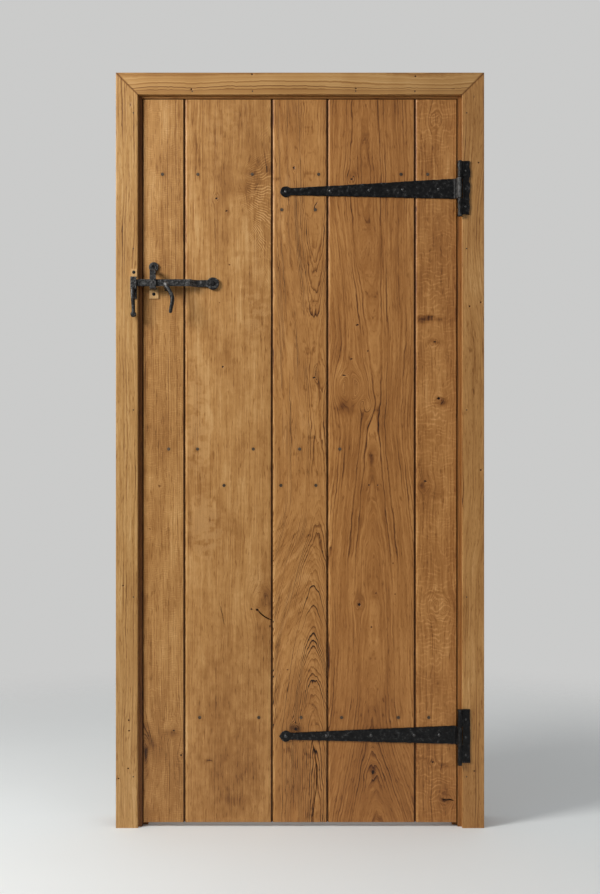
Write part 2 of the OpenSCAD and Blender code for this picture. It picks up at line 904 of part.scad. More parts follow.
module handle_screw_places() {
    for (z = [handle_z0, handle_z1])
        along_y([lever_x, handle_y1, z], -1) children();
    for (s = [-1, 1])
        along_y([lever_x + s * 0.3 * handle_w, handle_y1, grip_z1 + 18], -1) children();
}

module plank(i) {
    difference() {
        plan(leaf_z0, leaf_z1) plank_plan(i);
        for (k = [0 : len(ledge_z) - 1]) ledge_nail_holes(k);
        strap_screw_holes();
        lever_slot();
        spike_slot();
        staple_screw_holes();
        handle_screw_places() shank_hole(small_screw_r, handle_screw_l);
        pivot_place() shank_hole(pivot_shank_r, pivot_shank_l);
    }
}

module left_edge_plank() {
    color(oak_light) at_face() plank(0);
}

module left_wide_plank() {
    color(oak_light) at_face() plank(1);
}

module middle_plank() {
    color(oak_mid) at_face() plank(2);
}

module right_wide_plank() {
    color(oak_dark) at_face() plank(3);
}

module right_edge_plank() {
    color(oak_mid) at_face() plank(4);
}

module ledge(i) {
    z0 = ledge_z[i] - ledge_h / 2;
    z1 = ledge_z[i] + ledge_h / 2;
    difference() {
        intersection() {
            section(-ledge_x, ledge_x) polygon([
                [leaf_y1, z0], [ledge_y1 - ledge_bevel, z0], [ledge_y1, z0 + ledge_bevel],
                [ledge_y1, z1 - ledge_bevel], [ledge_y1 - ledge_bevel, z1], [leaf_y1, z1]
            ]);
            plan(z0 - past, z1 + past) polygon([
                [-ledge_x, leaf_y1], [ledge_x, leaf_y1], [ledge_x, ledge_y1 - ledge_bevel],
                [ledge_x - ledge_bevel, ledge_y1], [-ledge_x + ledge_bevel, ledge_y1],
                [-ledge_x, ledge_y1 - ledge_bevel]
            ]);
        }
        ledge_nail_holes(i);
        strap_screw_holes();
    }
}

module lower_ledge() {
    color(oak_mid) at_face() ledge(0);
}

module middle_ledge() {
    color(oak_mid) at_face() ledge(1);
}

module upper_ledge() {
    color(oak_mid) at_face() ledge(2);
}

module ledge_nail_set(i) {
    ledge_nail_places(i) flush_nail(nail_head_r, nail_head_h, nail_r, nail_l, nail_proud);
}

module lower_ledge_nails() {
    color(grey_iron) at_face() ledge_nail_set(0);
}

module middle_ledge_nails() {
    color(grey_iron) at_face() ledge_nail_set(1);
}

module upper_ledge_nails() {
    color(grey_iron) at_face() ledge_nail_set(2);
}

// Latch

module latch_bar() {
    color(black_iron) at_face() difference() {
        union() {
            plan(bar_z0, bar_z1) polygon([
                [pivot_x, eye_y0], [joggle_x0, eye_y0], [joggle_x1, bar_y0], [bar_end_x, bar_y0],
                [bar_end_x, bar_y1], [joggle_x1 - joggle_shift, bar_y1],
                [joggle_x0 - joggle_shift, eye_y1], [pivot_x, eye_y1]
            ]);
            along_y([pivot_x, eye_y0, latch_z]) cylinder(r = eye_r, h = bar_t);
        }
        along_y([pivot_x, eye_y0 - past, latch_z])
            cylinder(r = pivot_r + fit, h = bar_t + 2 * past);
    }
}

// Shouldered screw with a washer face against the leaf and a recess in its head
module latch_pivot() {
    shoulder = washer_t + bar_t + slack;
    color(grey_iron) at_face() pivot_place() difference() {
        union() {
            translate([0, 0, -shoulder]) dome(pivot_head_r, pivot_head_h);
            translate([0, 0, -shoulder]) cylinder(r = pivot_r, h = shoulder);
            translate([0, 0, -washer_t + slack])
                cylinder(r = pivot_head_r + 2, h = washer_t - slack);
            cylinder(r = pivot_shank_r, h = pivot_shank_l);
        }
        translate([0, 0, -shoulder - pivot_head_h - past])
            cylinder(r = pivot_recess_r, h = pivot_recess_d + past);
    }
}

// Bridge over the bar: an eye on the leaf, a strap in front, a leg driven through the pad
module latch_staple() {
    x0 = staple_x - keep_w / 2;
    x1 = staple_x + keep_w / 2;
    front = staple_y0;
    back = staple_y0 + keep_t;
    color(black_iron) at_face() difference() {
        union() {
            section(x0, x1) polygon([
                [leaf_y0, staple_eye_z], [leaf_y0 - keep_t, staple_eye_z],
                [leaf_y0 - keep_t, staple_z1], [front + staple_corner, staple_z1],
                [front, staple_z1 - staple_corner], [front, staple_z0 + staple_corner],
                [front + staple_corner, staple_z0], [staple_pad_y0, staple_z0],
                [staple_pad_y0, staple_z0 + keep_t], [back, staple_z0 + keep_t],
                [back, staple_z1 - keep_t], [leaf_y0, staple_z1 - keep_t]
            ]);
            block(
                [staple_x - spike_w / 2, staple_pad_y0 - past, staple_z0],
                [staple_x + spike_w / 2, leaf_y0 + spike_l, staple_z0 + keep_t]
            );
            staple_eye_place() cylinder(r = staple_eye_r, h = keep_t);
        }
        staple_eye_place() flush_hole(small_head_r, keep_t / 2, small_screw_r, small_screw_l);
    }
}

module staple_pad() {
    color(oak_light) at_face() difference() {
        block(
            [staple_x - staple_pad_w / 2, staple_pad_y0, staple_pad_z0],
            [staple_x + staple_pad_w / 2, leaf_y0, staple_pad_z1]
        );
        spike_slot();
        staple_pad_screw_place() shank_hole(small_screw_r, small_screw_l);
    }
}

module staple_screws() {
    color(black_iron) at_face() {
        staple_eye_place() translate([0, 0, keep_t / 2 - 1])
            flush_nail(small_head_r, 1, small_screw_r, small_screw_l - keep_t / 2);
        staple_pad_screw_place()
            dome_screw(small_head_r, small_head_h, small_screw_r, small_screw_l);
    }
}

// Catch on the architrave: a plate, a shelf under the bar, a lip before it and a curled tail
module latch_catch() {
    front = catch_y0;
    back = catch_y0 + keep_t;
    middle = (front + back) / 2;
    roll_r = keep_t / 2 + 0.4;
    tail = spline([
        [catch_x - 2, middle, catch_shelf_z - 5, 4.4],
        [catch_x - 2, middle - 3, catch_shelf_z - 14, 5.6],
        [catch_x - 1, middle - 3.5, catch_shelf_z - 0.42 * catch_tail_l, 5.4],
        [catch_x, middle - 1, catch_shelf_z - 0.73 * catch_tail_l, 4.8],
        [catch_x, middle, catch_shelf_z - catch_tail_l, 5]
    ], 5);
    color(black_iron) at_face() difference() {
        union() {
            section(catch_x - keep_w / 2, catch_x + keep_w / 2) polygon([
                [0, catch_plate_z0], [0, catch_shelf_z], [back, catch_shelf_z],
                [back, catch_lip_z], [front, catch_lip_z],
                [front, catch_shelf_z - catch_shelf_t], [-keep_t, catch_shelf_z - catch_shelf_t],
                [-keep_t, catch_plate_z0]
            ]);
            along_x([catch_x - keep_w / 2, middle, catch_lip_z])
                cylinder(r = roll_r, h = keep_w);
            swept_rod(tail);
            translate([catch_x, middle, catch_shelf_z - catch_tail_l]) sphere(catch_ball_r);
        }
        catch_screw_place() shank_hole(small_screw_r, catch_screw_l);
    }
}

module catch_pad() {
    color(oak_light) at_face() difference() {
        block(
            [catch_x - keep_w / 2, -pad_t, catch_pad_z0], [catch_x + keep_w / 2, 0, catch_pad_z1]
        );
        catch_pad_screw_place()
            flush_hole(small_head_r, small_head_h, small_screw_r, catch_screw_l);
    }
}

module catch_screws() {
    color(black_iron) at_face() {
        catch_screw_place()
            dome_screw(0.7 * small_head_r, small_head_h, small_screw_r, catch_screw_l);
        catch_pad_screw_place()
            flush_nail(small_head_r, small_head_h, small_screw_r, catch_screw_l);
    }
}

// Thumb press behind, an arm through the leaf under the bar, and a tail that curls in front
module thumb_lever() {
    top = lever_z;
    tail = spline([
        [lever_x, lever_front_y + 4, top, 3.8],
        [lever_x, bar_y0 - 7, top + 0.3, 3.9],
        [lever_x, bar_y0 - 12, top + 4, 4.3],
        [lever_x + 1, bar_y0 - 17, top + 9, tail_r],
        [lever_x + 6, bar_y0 - tail_out + 2.5, top + 0.5, tail_r],
        [lever_x + 15, bar_y0 - tail_out + 0.5, top - 15, tail_r],
        [lever_x + 20.5, bar_y0 - tail_out, top - 29, tail_r],
        [lever_x + 20, bar_y0 - tail_out + 1, top - 42, tail_r],
        [lever_x + 15, bar_y0 - tail_out + 5, top - 67, tail_end_r]
    ], 4);
    color(black_iron) at_face() difference() {
        union() {
            block(
                [lever_x - lever_w / 2, lever_front_y, lever_z - lever_h / 2],
                [lever_x + lever_w / 2, press_y, lever_z + lever_h / 2]
            );
            along_x([lever_x - lever_w / 2, lever_pin_y, lever_z])
                cylinder(r = lever_boss_r, h = lever_w);
            translate([lever_x, press_y, lever_z]) cylinder(r = press_r, h = press_t);
            swept_rod(round_ended(tail));
        }
        along_x([lever_x - lever_w, lever_pin_y, lever_z])
            cylinder(r = lever_pin_r + fit, h = 2 * lever_w);
        translate([lever_x, press_y, lever_z + press_t + press_dish_r - press_dish_d])
            rotate([90, 0, 0]) sphere(press_dish_r);
    }
}

module lever_pin() {
    half = ear_x + ear_t;
    color(grey_iron) at_face() along_x([lever_x - half, lever_pin_y, lever_z])
        cylinder(r = lever_pin_r, h = 2 * half);
}

module ear(s) {
    near = lever_x + (s > 0 ? ear_x : -ear_x - ear_t);
    along_x([near, lever_pin_y, lever_z]) cylinder(r = ear_r, h = ear_t);
    block(
        [near, handle_y1 - past, lever_z - ear_r], [near + ear_t, lever_pin_y, lever_z + ear_r]
    );
}

// The grip leaves its plate, bows out to the hand and returns, a little thicker in the middle
module grip() {
    mid_z = (grip_z0 + grip_z1) / 2;
    half = grip_l / 2;
    swept_rod(spline([
        for (p = [[-1, 0, 0.8], [-1, 0.3, 0.8], [-0.88, 0.72, 0.85], [-0.5, 0.96, 0.95], [0, 1, 1],
                  [0.5, 0.96, 0.95], [0.88, 0.72, 0.85], [1, 0.3, 0.8], [1, 0, 0.8]])
            [lever_x, grip_root_y + p[1] * (grip_y - grip_root_y), mid_z + p[0] * half,
             p[2] * grip_r]
    ], 4));
}

// Forged plate with round ends, ears for the lever's pin and a round grip below it
module pull_handle() {
    color(black_iron) at_face() difference() {
        union() {
            block(
                [lever_x - handle_w / 2, leaf_y1, handle_z0],
                [lever_x + handle_w / 2, handle_y1, handle_z1]
            );
            for (z = [handle_z0, handle_z1])
                along_y([lever_x, leaf_y1, z]) cylinder(r = handle_end_r, h = handle_t);
            for (s = [-1, 1]) ear(s);
            grip();
        }
        lever_slot();
        along_x([lever_x - handle_w, lever_pin_y, lever_z])
            cylinder(r = lever_pin_r + fit, h = 2 * handle_w);
        handle_screw_places() shank_hole(small_screw_r, handle_screw_l);
    }
}

module handle_screws() {
    color(grey_iron) at_face() handle_screw_places()
        dome_screw(strap_head_r, strap_head_h, small_screw_r, handle_screw_l);
}

left_jamb();
right_jamb();
head_lining();
left_stop();
right_stop();
head_stop();
front_left_architrave();
front_right_architrave();
front_head_architrave();
back_left_architrave();
back_right_architrave();
back_head_architrave();
front_architrave_nails();
back_architrave_nails();
stop_nails();
lining_screws();
upper_hinge_plate();
lower_hinge_plate();
upper_hinge_pin();
lower_hinge_pin();
upper_plate_screws();
lower_plate_screws();
latch_catch();
catch_pad();
catch_screws();
left_edge_plank();
left_wide_plank();
middle_plank();
right_wide_plank();
right_edge_plank();
lower_ledge();
middle_ledge();
upper_ledge();
lower_ledge_nails();
middle_ledge_nails();
upper_ledge_nails();
upper_hinge_strap();
lower_hinge_strap();
upper_strap_screws();
lower_strap_screws();
latch_staple();
staple_pad();
staple_screws();
latch_pivot();
pull_handle();
handle_screws();
lever_pin();
latch_bar();
thumb_lever();
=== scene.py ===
import json
import math

import bmesh
import bpy
import numpy as np
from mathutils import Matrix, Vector

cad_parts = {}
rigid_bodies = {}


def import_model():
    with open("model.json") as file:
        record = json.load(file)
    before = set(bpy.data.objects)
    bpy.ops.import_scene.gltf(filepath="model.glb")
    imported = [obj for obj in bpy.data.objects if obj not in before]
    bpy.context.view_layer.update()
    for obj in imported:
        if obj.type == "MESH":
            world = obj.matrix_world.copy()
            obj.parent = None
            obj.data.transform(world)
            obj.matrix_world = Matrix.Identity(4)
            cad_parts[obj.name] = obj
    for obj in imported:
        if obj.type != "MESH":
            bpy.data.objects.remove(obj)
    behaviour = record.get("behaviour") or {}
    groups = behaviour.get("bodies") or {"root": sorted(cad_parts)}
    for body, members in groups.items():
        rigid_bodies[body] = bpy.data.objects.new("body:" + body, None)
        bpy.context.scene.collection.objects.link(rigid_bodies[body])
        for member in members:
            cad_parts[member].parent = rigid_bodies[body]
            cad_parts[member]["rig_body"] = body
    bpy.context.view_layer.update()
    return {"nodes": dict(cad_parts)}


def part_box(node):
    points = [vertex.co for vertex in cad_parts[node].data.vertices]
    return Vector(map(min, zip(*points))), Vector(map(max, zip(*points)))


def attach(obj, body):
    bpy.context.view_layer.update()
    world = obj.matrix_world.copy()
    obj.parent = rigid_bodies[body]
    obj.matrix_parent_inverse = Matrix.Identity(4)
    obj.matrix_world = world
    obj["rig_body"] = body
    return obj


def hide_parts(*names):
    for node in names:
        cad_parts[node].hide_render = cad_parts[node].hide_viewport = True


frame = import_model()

nodes = frame["nodes"]
scene = bpy.context.scene

# Places and sizes in metres, in the frame of the CAD model
FACE_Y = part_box("front_head_architrave")[0].y
LEAF_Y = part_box("middle_plank")[0].y
BACK_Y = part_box("middle_plank")[1].y
LEAF_Z = (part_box("middle_plank")[0].z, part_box("middle_plank")[1].z)
PLANK_EDGES = [-0.429, -0.316, -0.076, 0.076, 0.316, 0.429]
HALF_GAP = 0.001
BEVEL = 0.0032
ARRIS = 0.001
FRAY_DEPTH = 0.0005
TONGUE_REACH = 0.008
TONGUE_HALF = 0.0035
GROOVE_HALF = 0.00375
GROOVE_ROOM = 0.001
LEVER_SLOT = ((-0.3715, -0.3605), (1.46795, 1.49245))
SLOT_ROOM = 0.001
HEAD_DEPTH = 0.002
HEAD_WIDTH = 0.012
NAIL_HOLLOW = 0.009
NAIL_STAIN = 0.0085
FOLLOW_REACH = 0.035
TRIM_IN = 0.443
TRIM_OUT = 0.503
TRIM_LOW = 2.003
TRIM_TOP = 2.063
TRIM_EASE = 0.0016
HOLE_R = 0.0022
HOLE_ROOM = 0.003
MITRE_RUN = 0.12
HAMMER_WAVE = 0.008
RAGGED_REACH = 0.006
GLINT_FADE = 0.004

# The view: the camera's height and distance, its middle in px, and metres to one px at the leaf
EYE_Z = 1.0405
CAMERA_AWAY = 3.6
MID_PX = (300, 447)
PX = 1 / 364.5

# Points of a worn bevel, inward and backward from the corner, and the start of the flat face,
# in parts of the bevel
BEVEL_CURVE = [(0, 1), (0.55, 0.45), (0.88, 0.14)]
BEVEL_END = 1.3

# Rings move this far sideways for each metre of depth
RING_SLANT = 0.8
LAST_PLANK = 4
SHARP_ANGLE = math.radians(38)

# Distances between the points of the boards, in metres
COLUMN_STEP = 0.004
ROW_STEP = 0.007
BACK_STEP = 0.02
PIT_STEP = 0.0011
CRACK_STEP = 0.0007
CRACK_WIDE_STEP = 0.0013
CRACK_HIGH_STEP = 0.004
TRIM_COLUMN_STEP = 0.005
TRIM_ROW_STEP = 0.008
HOLE_STEP = 0.0008
CLOSEST = 0.0004
TINY = 1e-6


def at_px(px, py):
    """x and z on the leaf of a place in the picture frame."""
    return (px - MID_PX[0]) * PX, EYE_Z + (MID_PX[1] - py) * PX


# Shapes in numpy

def noise(points, wave, seed=0.0):
    """Soft noise from -1 to 1 at points of three numbers, with one wave in the given length."""
    p = np.asarray(points, float) / wave + seed * 17.13
    cell = np.floor(p).astype(np.int64)
    f = p - cell
    f = f * f * (3 - 2 * f)
    total = np.zeros(p.shape[:-1])
    for corner in range(8):
        step = np.array([corner & 1, corner >> 1 & 1, corner >> 2 & 1])
        share = np.where(step == 1, f, 1 - f).prod(axis=-1)
        c = cell + step
        h = (c[..., 0] * 73856093) ^ (c[..., 1] * 19349663) ^ (c[..., 2] * 83492791)
        h = (h ^ (h >> 13)) * 1274126177 & 0x7FFFFFFF
        h = (h ^ (h >> 15)) * 2246822519 & 0x7FFFFFFF
        total += share * (h / 0x3FFFFFFF - 1)
    return total


def spread(low, high, step, fine=()):
    """Places from low to high, a step apart, and closer in each fine stretch of (from, to, step)."""
    places = list(np.linspace(low, high, max(2, round((high - low) / step) + 1)))
    for a, b, small in sorted(fine, key=lambda f: -f[2]):
        a, b = max(a, low), min(b, high)
        if b > a:
            places = [p for p in places if p < a - small or p > b + small]
            places += list(np.linspace(a, b, max(2, round((b - a) / small) + 1)))
    places = sorted(set(places + [low, high]))
    kept = [places[0]]
    for p in places[1:-1]:
        if p - kept[-1] > CLOSEST and places[-1] - p > CLOSEST:
            kept.append(p)
    return np.array(kept + [places[-1]])


def soft(x, z, spot):
    """1 at a spot's middle, falling to 0 at its radii; spot starts (px, py, wide px, high px)."""
    cx, cz = at_px(spot[0], spot[1])
    r = np.hypot((x - cx) / (spot[2] * PX), (z - cz) / (spot[3] * PX))
    t = np.clip(1 - r, 0, 1)
    return t * t * (3 - 2 * t)


def line_gap(x, z, points):
    """Distance to a line through points in px, and the part of its length at the nearest place."""
    ends = [at_px(*p) for p in points]
    lengths = [math.dist(a, b) for a, b in zip(ends, ends[1:])]
    best = np.full(x.shape, 9.0)
    part = np.zeros(x.shape)
    done = 0.0
    for (ax, az), (bx, bz), length in zip(ends, ends[1:], lengths):
        t = ((x - ax) * (bx - ax) + (z - az) * (bz - az)) / length ** 2
        t = np.clip(t, 0, 1)
        gap = np.hypot(x - ax - t * (bx - ax), z - az - t * (bz - az))
        near = gap < best
        best = np.where(near, gap, best)
        part = np.where(near, (done + t * length) / sum(lengths), part)
        done += length
    return best, part


def follow(z, points):
    """A smooth line over height through points of (py, value)."""
    points = sorted(points, key=lambda p: -p[0])
    heights = [at_px(0, p[0])[1] for p in points]
    values = [p[1] for p in points]
    shifts = np.linspace(-FOLLOW_REACH, FOLLOW_REACH, 9)
    return sum(np.interp(z + s, heights, values) for s in shifts) / len(shifts)


def head_places(name):
    """Middles of the heads of a node's nails, in x and z, from the points at their front."""
    co = np.array([v.co for v in nodes[name].data.vertices])
    front = co[co[:, 1] < co[:, 1].min() + HEAD_DEPTH]
    groups = []
    for p in front:
        for g in groups:
            if math.hypot(p[0] - g[0][0], p[2] - g[0][2]) < HEAD_WIDTH:
                g.append(p)
                break
        else:
            groups.append([p])
    return [(np.mean([p[0] for p in g]), np.mean([p[2] for p in g])) for g in groups]


def skin(name, grid, windows=()):
    """A closed mesh over a grid of points: rows of closed loops, with both ends capped.
    A window is (row, column, column at the back) of two facing quads joined by four walls."""
    rows, count = grid.shape[:2]
    index = np.arange(rows * count).reshape(rows, count)
    following = np.roll(index, -1, axis=1)
    quads = np.stack([index[:-1], following[:-1], following[1:], index[1:]], axis=-1)
    keep = np.ones(quads.shape[:2], bool)
    walls = []
    for row, front, back in windows:
        keep[row, front] = keep[row, back] = False
        a = quads[row, front].tolist()
        b = quads[row, back].tolist()
        b = [b[1], b[0], b[3], b[2]]
        walls += [[a[k], a[(k + 1) % 4], b[(k + 1) % 4], b[k]] for k in range(4)]
    faces = quads[keep].tolist() + walls + [index[0].tolist(), index[-1].tolist()]
    mesh = bpy.data.meshes.new(name)
    mesh.from_pydata(grid.reshape(-1, 3).tolist(), [], faces)
    shape = bmesh.new()
    shape.from_mesh(mesh)
    bmesh.ops.recalc_face_normals(shape, faces=shape.faces)
    shape.to_mesh(mesh)
    shape.free()
    mesh.shade_smooth()
    mesh.set_sharp_from_angle(angle=SHARP_ANGLE)
    piece = bpy.data.objects.new(name, mesh)
    scene.collection.objects.link(piece)
    return piece


def give(piece, **fields):
    """Numbers kept at each point of a mesh, for its material."""
    for key, values in fields.items():
        layer = piece.data.attributes.new(key, "FLOAT", "POINT")
        layer.data.foreach_set("value", np.asarray(values, np.float32).ravel())


def stand_for(piece, node, mat):
    """Give a piece its material, and let it take the place of a node on the node's body."""
    piece.data.materials.clear()
    piece.data.materials.append(mat)
    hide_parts(node)
    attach(piece, nodes[node]["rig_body"])


# Nodes of the materials

class Field:
    """A number at each point of a surface, held as the output of a shader node."""

    def __init__(self, tree, socket):
        self.tree, self.socket = tree, socket

    def op(self, kind, *others, swap=False):
        node = self.tree.nodes.new("ShaderNodeMath")
        node.operation = kind
        values = [self, *others]
        if swap:
            values.reverse()
        for socket, value in zip(node.inputs, values):
            feed(self.tree, socket, value)
        return Field(self.tree, node.outputs[0])

    def __add__(self, other):
        return self.op("ADD", other)

    def __sub__(self, other):
        return self.op("SUBTRACT", other)

    def __rsub__(self, other):
        return self.op("SUBTRACT", other, swap=True)

    def __mul__(self, other):
        return self.op("MULTIPLY", other)

    def root(self):
        return self.op("SQRT")

    def part(self):
        return self.op("FRACT")

    def whole(self):
        return self.op("FLOOR")

    def smooth(self, low, high):
        """0 at low and 1 at high, with a smooth step between; low may be the larger."""
        node = self.tree.nodes.new("ShaderNodeMapRange")
        node.interpolation_type = "SMOOTHSTEP"
        feed(self.tree, node.inputs["Value"], self)
        ends = (low, high, 0, 1) if low < high else (high, low, 1, 0)
        for key, value in zip(("From Min", "From Max", "To Min", "To Max"), ends):
            node.inputs[key].default_value = value
        return Field(self.tree, node.outputs["Result"])


def feed(tree, socket, value):
    """Link a field to a socket, or set the socket's own value."""
    if isinstance(value, Field):
        tree.links.new(value.socket, socket)
    else:
        socket.default_value = value


def new_material(name):
    """A new material, its tree of nodes and its main shader."""
    mat = bpy.data.materials.new(name)
    mat.use_nodes = True
    tree = mat.node_tree
    shader = next(n for n in tree.nodes if n.type == "BSDF_PRINCIPLED")
    return mat, tree, shader


def place_fields(tree):
    """x, y and z of a point, in metres, which travel with the piece."""
    where = tree.nodes.new("ShaderNodeTexCoord")
    parts = tree.nodes.new("ShaderNodeSeparateXYZ")
    tree.links.new(where.outputs["Object"], parts.inputs[0])
    return [Field(tree, parts.outputs[i]) for i in range(3)]


def kept_field(tree, key):
    """A number that a mesh keeps at each of its points."""
    node = tree.nodes.new("ShaderNodeAttribute")
    node.attribute_name = key
    return Field(tree, node.outputs["Fac"])


def cloud(tree, x, y, z, detail=2.0, rough=0.5):
    """Soft noise about 0.5, with one wave to one unit of its coordinates."""
    join = tree.nodes.new("ShaderNodeCombineXYZ")
    for socket, value in zip(join.inputs, (x, y, z)):
        feed(tree, socket, value)
    node = tree.nodes.new("ShaderNodeTexNoise")
    tree.links.new(join.outputs[0], node.inputs["Vector"])
    node.inputs["Scale"].default_value = 1.0
    node.inputs["Detail"].default_value = detail
    node.inputs["Roughness"].default_value = rough
    return Field(tree, node.outputs[0])


def dice(tree, value):
    """A steady random number from 0 to 1 for each value."""
    node = tree.nodes.new("ShaderNodeTexWhiteNoise")
    node.noise_dimensions = "1D"
    feed(tree, node.inputs["W"], value)
    return Field(tree, node.outputs["Value"])


def ramp(tree, value, stops):
    """The colour of a value, between stops of (place, colour)."""
    node = tree.nodes.new("ShaderNodeValToRGB")
    feed(tree, node.inputs[0], value)
    band = node.color_ramp
    band.elements[0].position, band.elements[0].color = stops[0][0], (*stops[0][1], 1)
    band.elements[1].position, band.elements[1].color = stops[-1][0], (*stops[-1][1], 1)
    for place, colour in stops[1:-1]:
        band.elements.new(place).color = (*colour, 1)
    return node.outputs[0]


def bumps(tree, shader, height, strength, distance):
    """Fine relief, for the light only."""
    node = tree.nodes.new("ShaderNodeBump")
    node.inputs["Strength"].default_value = strength
    node.inputs["Distance"].default_value = distance
    tree.links.new(height.socket, node.inputs["Height"])
    tree.links.new(node.outputs[0], shader.inputs["Normal"])


# Colours from dark to light, as (place from 0 to 1, red, green and blue)
OAK = [
    (0.0, (0.010, 0.004, 0.0015)),
    (0.2, (0.075, 0.025, 0.006)),
    (0.4, (0.200, 0.083, 0.020)),
    (0.6, (0.360, 0.172, 0.049)),
    (0.8, (0.520, 0.285, 0.098)),
    (1.0, (0.670, 0.420, 0.185)),
]


def oak(name, along=None, seed=0.0, tone=0.62, spacing=0.005, lines=0.22, streaks=0.62,
        patches=0.26, fleck=0.0, warm=1.0, wavy=0.7, grit=1.0, cross=0.0, blots=0.0, rebate_shade=0.0):
    """Oiled oak. Boards with their own grain keep it in their points; others run along an axis."""
    mat, tree, shader = new_material(name)
    x, y, z = place_fields(tree)
    u, run = (z, x) if along == "x" else (x, z)
    depth = y - LEAF_Y

    # Rings of growth, each of which ends in a dark line of its own weight
    ripple = cloud(tree, u * 60 + seed, depth * 40, run * 16, 2.0) - 0.5
    if along:
        warp = cloud(tree, u * 7 + seed, depth * 7, run * 1.6, 2.0) - 0.5
        phase = (u + depth * RING_SLANT + warp * 0.03) * (1 / spacing)
        shade = None
    else:
        phase = kept_field(tree, "grain")
        shade = kept_field(tree, "shade")
    uneven = cloud(tree, phase * 0.21, seed, run * 1.3, 1.0) - 0.5
    phase = phase + uneven * 2.0 + ripple * wavy
    ring = phase.part()
    index = phase.whole()
    late = ring.smooth(0.50, 0.97) * ring.smooth(1.0, 0.98)
    weight = dice(tree, index + seed)
    weight = weight * weight * 0.85 + 0.15
    fade = cloud(tree, phase * 0.17, seed + 3.1, run * 5, 2.0).smooth(0.30, 0.68)
    line = late * weight * fade

    # Finer marks that run with the rings, and broad patches
    streak = cloud(tree, phase * (1.5 * grit) + u * cross, seed + 7.7, run * 7, 4.0, 0.62) - 0.5
    fibre = cloud(tree, phase * (6.0 * grit), depth * 400, run * 70, 2.0) - 0.5
    pore = cloud(tree, phase * (5.0 * grit), depth * 300, run * 55, 2.0, 0.6).smooth(0.58, 0.72)
    dash = cloud(tree, phase * (2.3 * grit) + u * cross, seed + 5.3, run * 34, 2.0, 0.6)
    dash = dash.smooth(0.56, 0.72)
    patch = cloud(tree, u * 9 + seed, depth * 5, run * 2.4, 3.0) - 0.5
    if blots:
        patch = patch + (cloud(tree, u * 26 + seed, depth * 10, run * 9, 3.0) - 0.5) * blots

    # How light the wood is: 0 is the darkest colour of OAK and 1 the lightest
    if shade:
        line = line * (shade * shade * 22.0 + 1.0)
    value = (
        streak * streaks + fibre * 0.22 + patch * patches + tone
        - line * lines - pore * 0.10 - dash * 0.20
    )
    if shade:
        value = value + shade * (streak * 4.0 + patch * 2.0 + 1.0)
    if fleck:
        curl = cloud(tree, u * 24 + seed, depth * 30, run * 18, 2.0) - 0.5
        ray = kept_field(tree, "ray") + curl * 5.0
        wave = ((ray.part() - 0.5) * (ray.part() - 0.5) * 4.0).smooth(0.05, 0.9)
        much = kept_field(tree, "fleck")
        broken = (cloud(tree, u * 50, seed + 1.7, run * 60, 2.0) + much * 0.07).smooth(0.44, 0.70)
        value = value + (wave * broken - 0.25) * much * fleck
    # The kept pit number darkens holes, cracks and joints: painted shade in them, and in knot holes
    # partly the dark wood itself
    if shade:
        value = value * kept_field(tree, "pit").smooth(1.0, 0.0)
    # Painted shade: the band of the rebate next to the leaf's edge is darkened, as the narrow gap
    # there lies in shade
    if rebate_shade:
        rebate = depth.smooth(-0.0005, 0.0015) * depth.smooth(0.018, 0.010)
        value = value * (1.0 - rebate * rebate_shade)

    # A lower warm takes out green and blue
    stops = [(at, (r, g * warm, b * warm * warm)) for at, (r, g, b) in OAK]
    tree.links.new(ramp(tree, value, stops), shader.inputs["Base Color"])
    dull = value * -0.20 + streak * 0.2 + 0.58
    tree.links.new(dull.socket, shader.inputs["Roughness"])
    shader.inputs["Specular IOR Level"].default_value = 0.35
    bumps(tree, shader, value * 0.5 - line * 0.6 - pore * 0.5, 0.35, 0.0006)
    return mat


IRON = [
    (0.0, (0.0015, 0.0015, 0.002)),
    (0.42, (0.0045, 0.0045, 0.005)),
    (0.62, (0.015, 0.015, 0.0155)),
    (0.8, (0.040, 0.040, 0.040)),
    (1.0, (0.100, 0.099, 0.097)),
]
NAIL = [
    (0.0, (0.030, 0.020, 0.012)),
    (0.5, (0.075, 0.050, 0.030)),
    (1.0, (0.150, 0.110, 0.075)),
]


def iron(name, seed=0.0, light=0.42, rough=0.40, stops=IRON, shine=0.36, rise=0.6, mottle=1.2,
         spots=110.0):
    """Black forged iron. Its grey mottle is partly the iron's own scale and partly painted sheen on
    the hammered high places.
    """
    mat, tree, shader = new_material(name)
    x, y, z = place_fields(tree)
    big = cloud(tree, x * spots + seed, y * spots, z * spots, 2.0)
    fine = cloud(tree, x * 420 + seed, y * 420, z * 420, 3.0, 0.6)
    grit = cloud(tree, x * 1500, y * 1500, z * 1500 + seed, 1.0)
    # The kept number at each point adds a painted highlight
    value = (big * 1.3 + fine - 1.15) * mottle + kept_field(tree, "worn") + light
    tree.links.new(ramp(tree, value, stops), shader.inputs["Base Color"])
    shader.inputs["Specular IOR Level"].default_value = shine
    tree.links.new((fine * 0.25 + big * 0.15 + (rough - 0.2)).socket, shader.inputs["Roughness"])
    bumps(tree, shader, big * 0.5 + fine * 0.35 + grit * 0.08, rise, 0.0020)
    return mat


def wear(names, mat):
    """Give nodes that stay as they are a material."""
    for name in names:
        slots = nodes[name].data.materials
        slots.clear()
        slots.append(mat)


# Boards of the leaf

ALL_NAILS = [p for n in ("lower", "middle", "upper") for p in head_places(n + "_ledge_nails")]


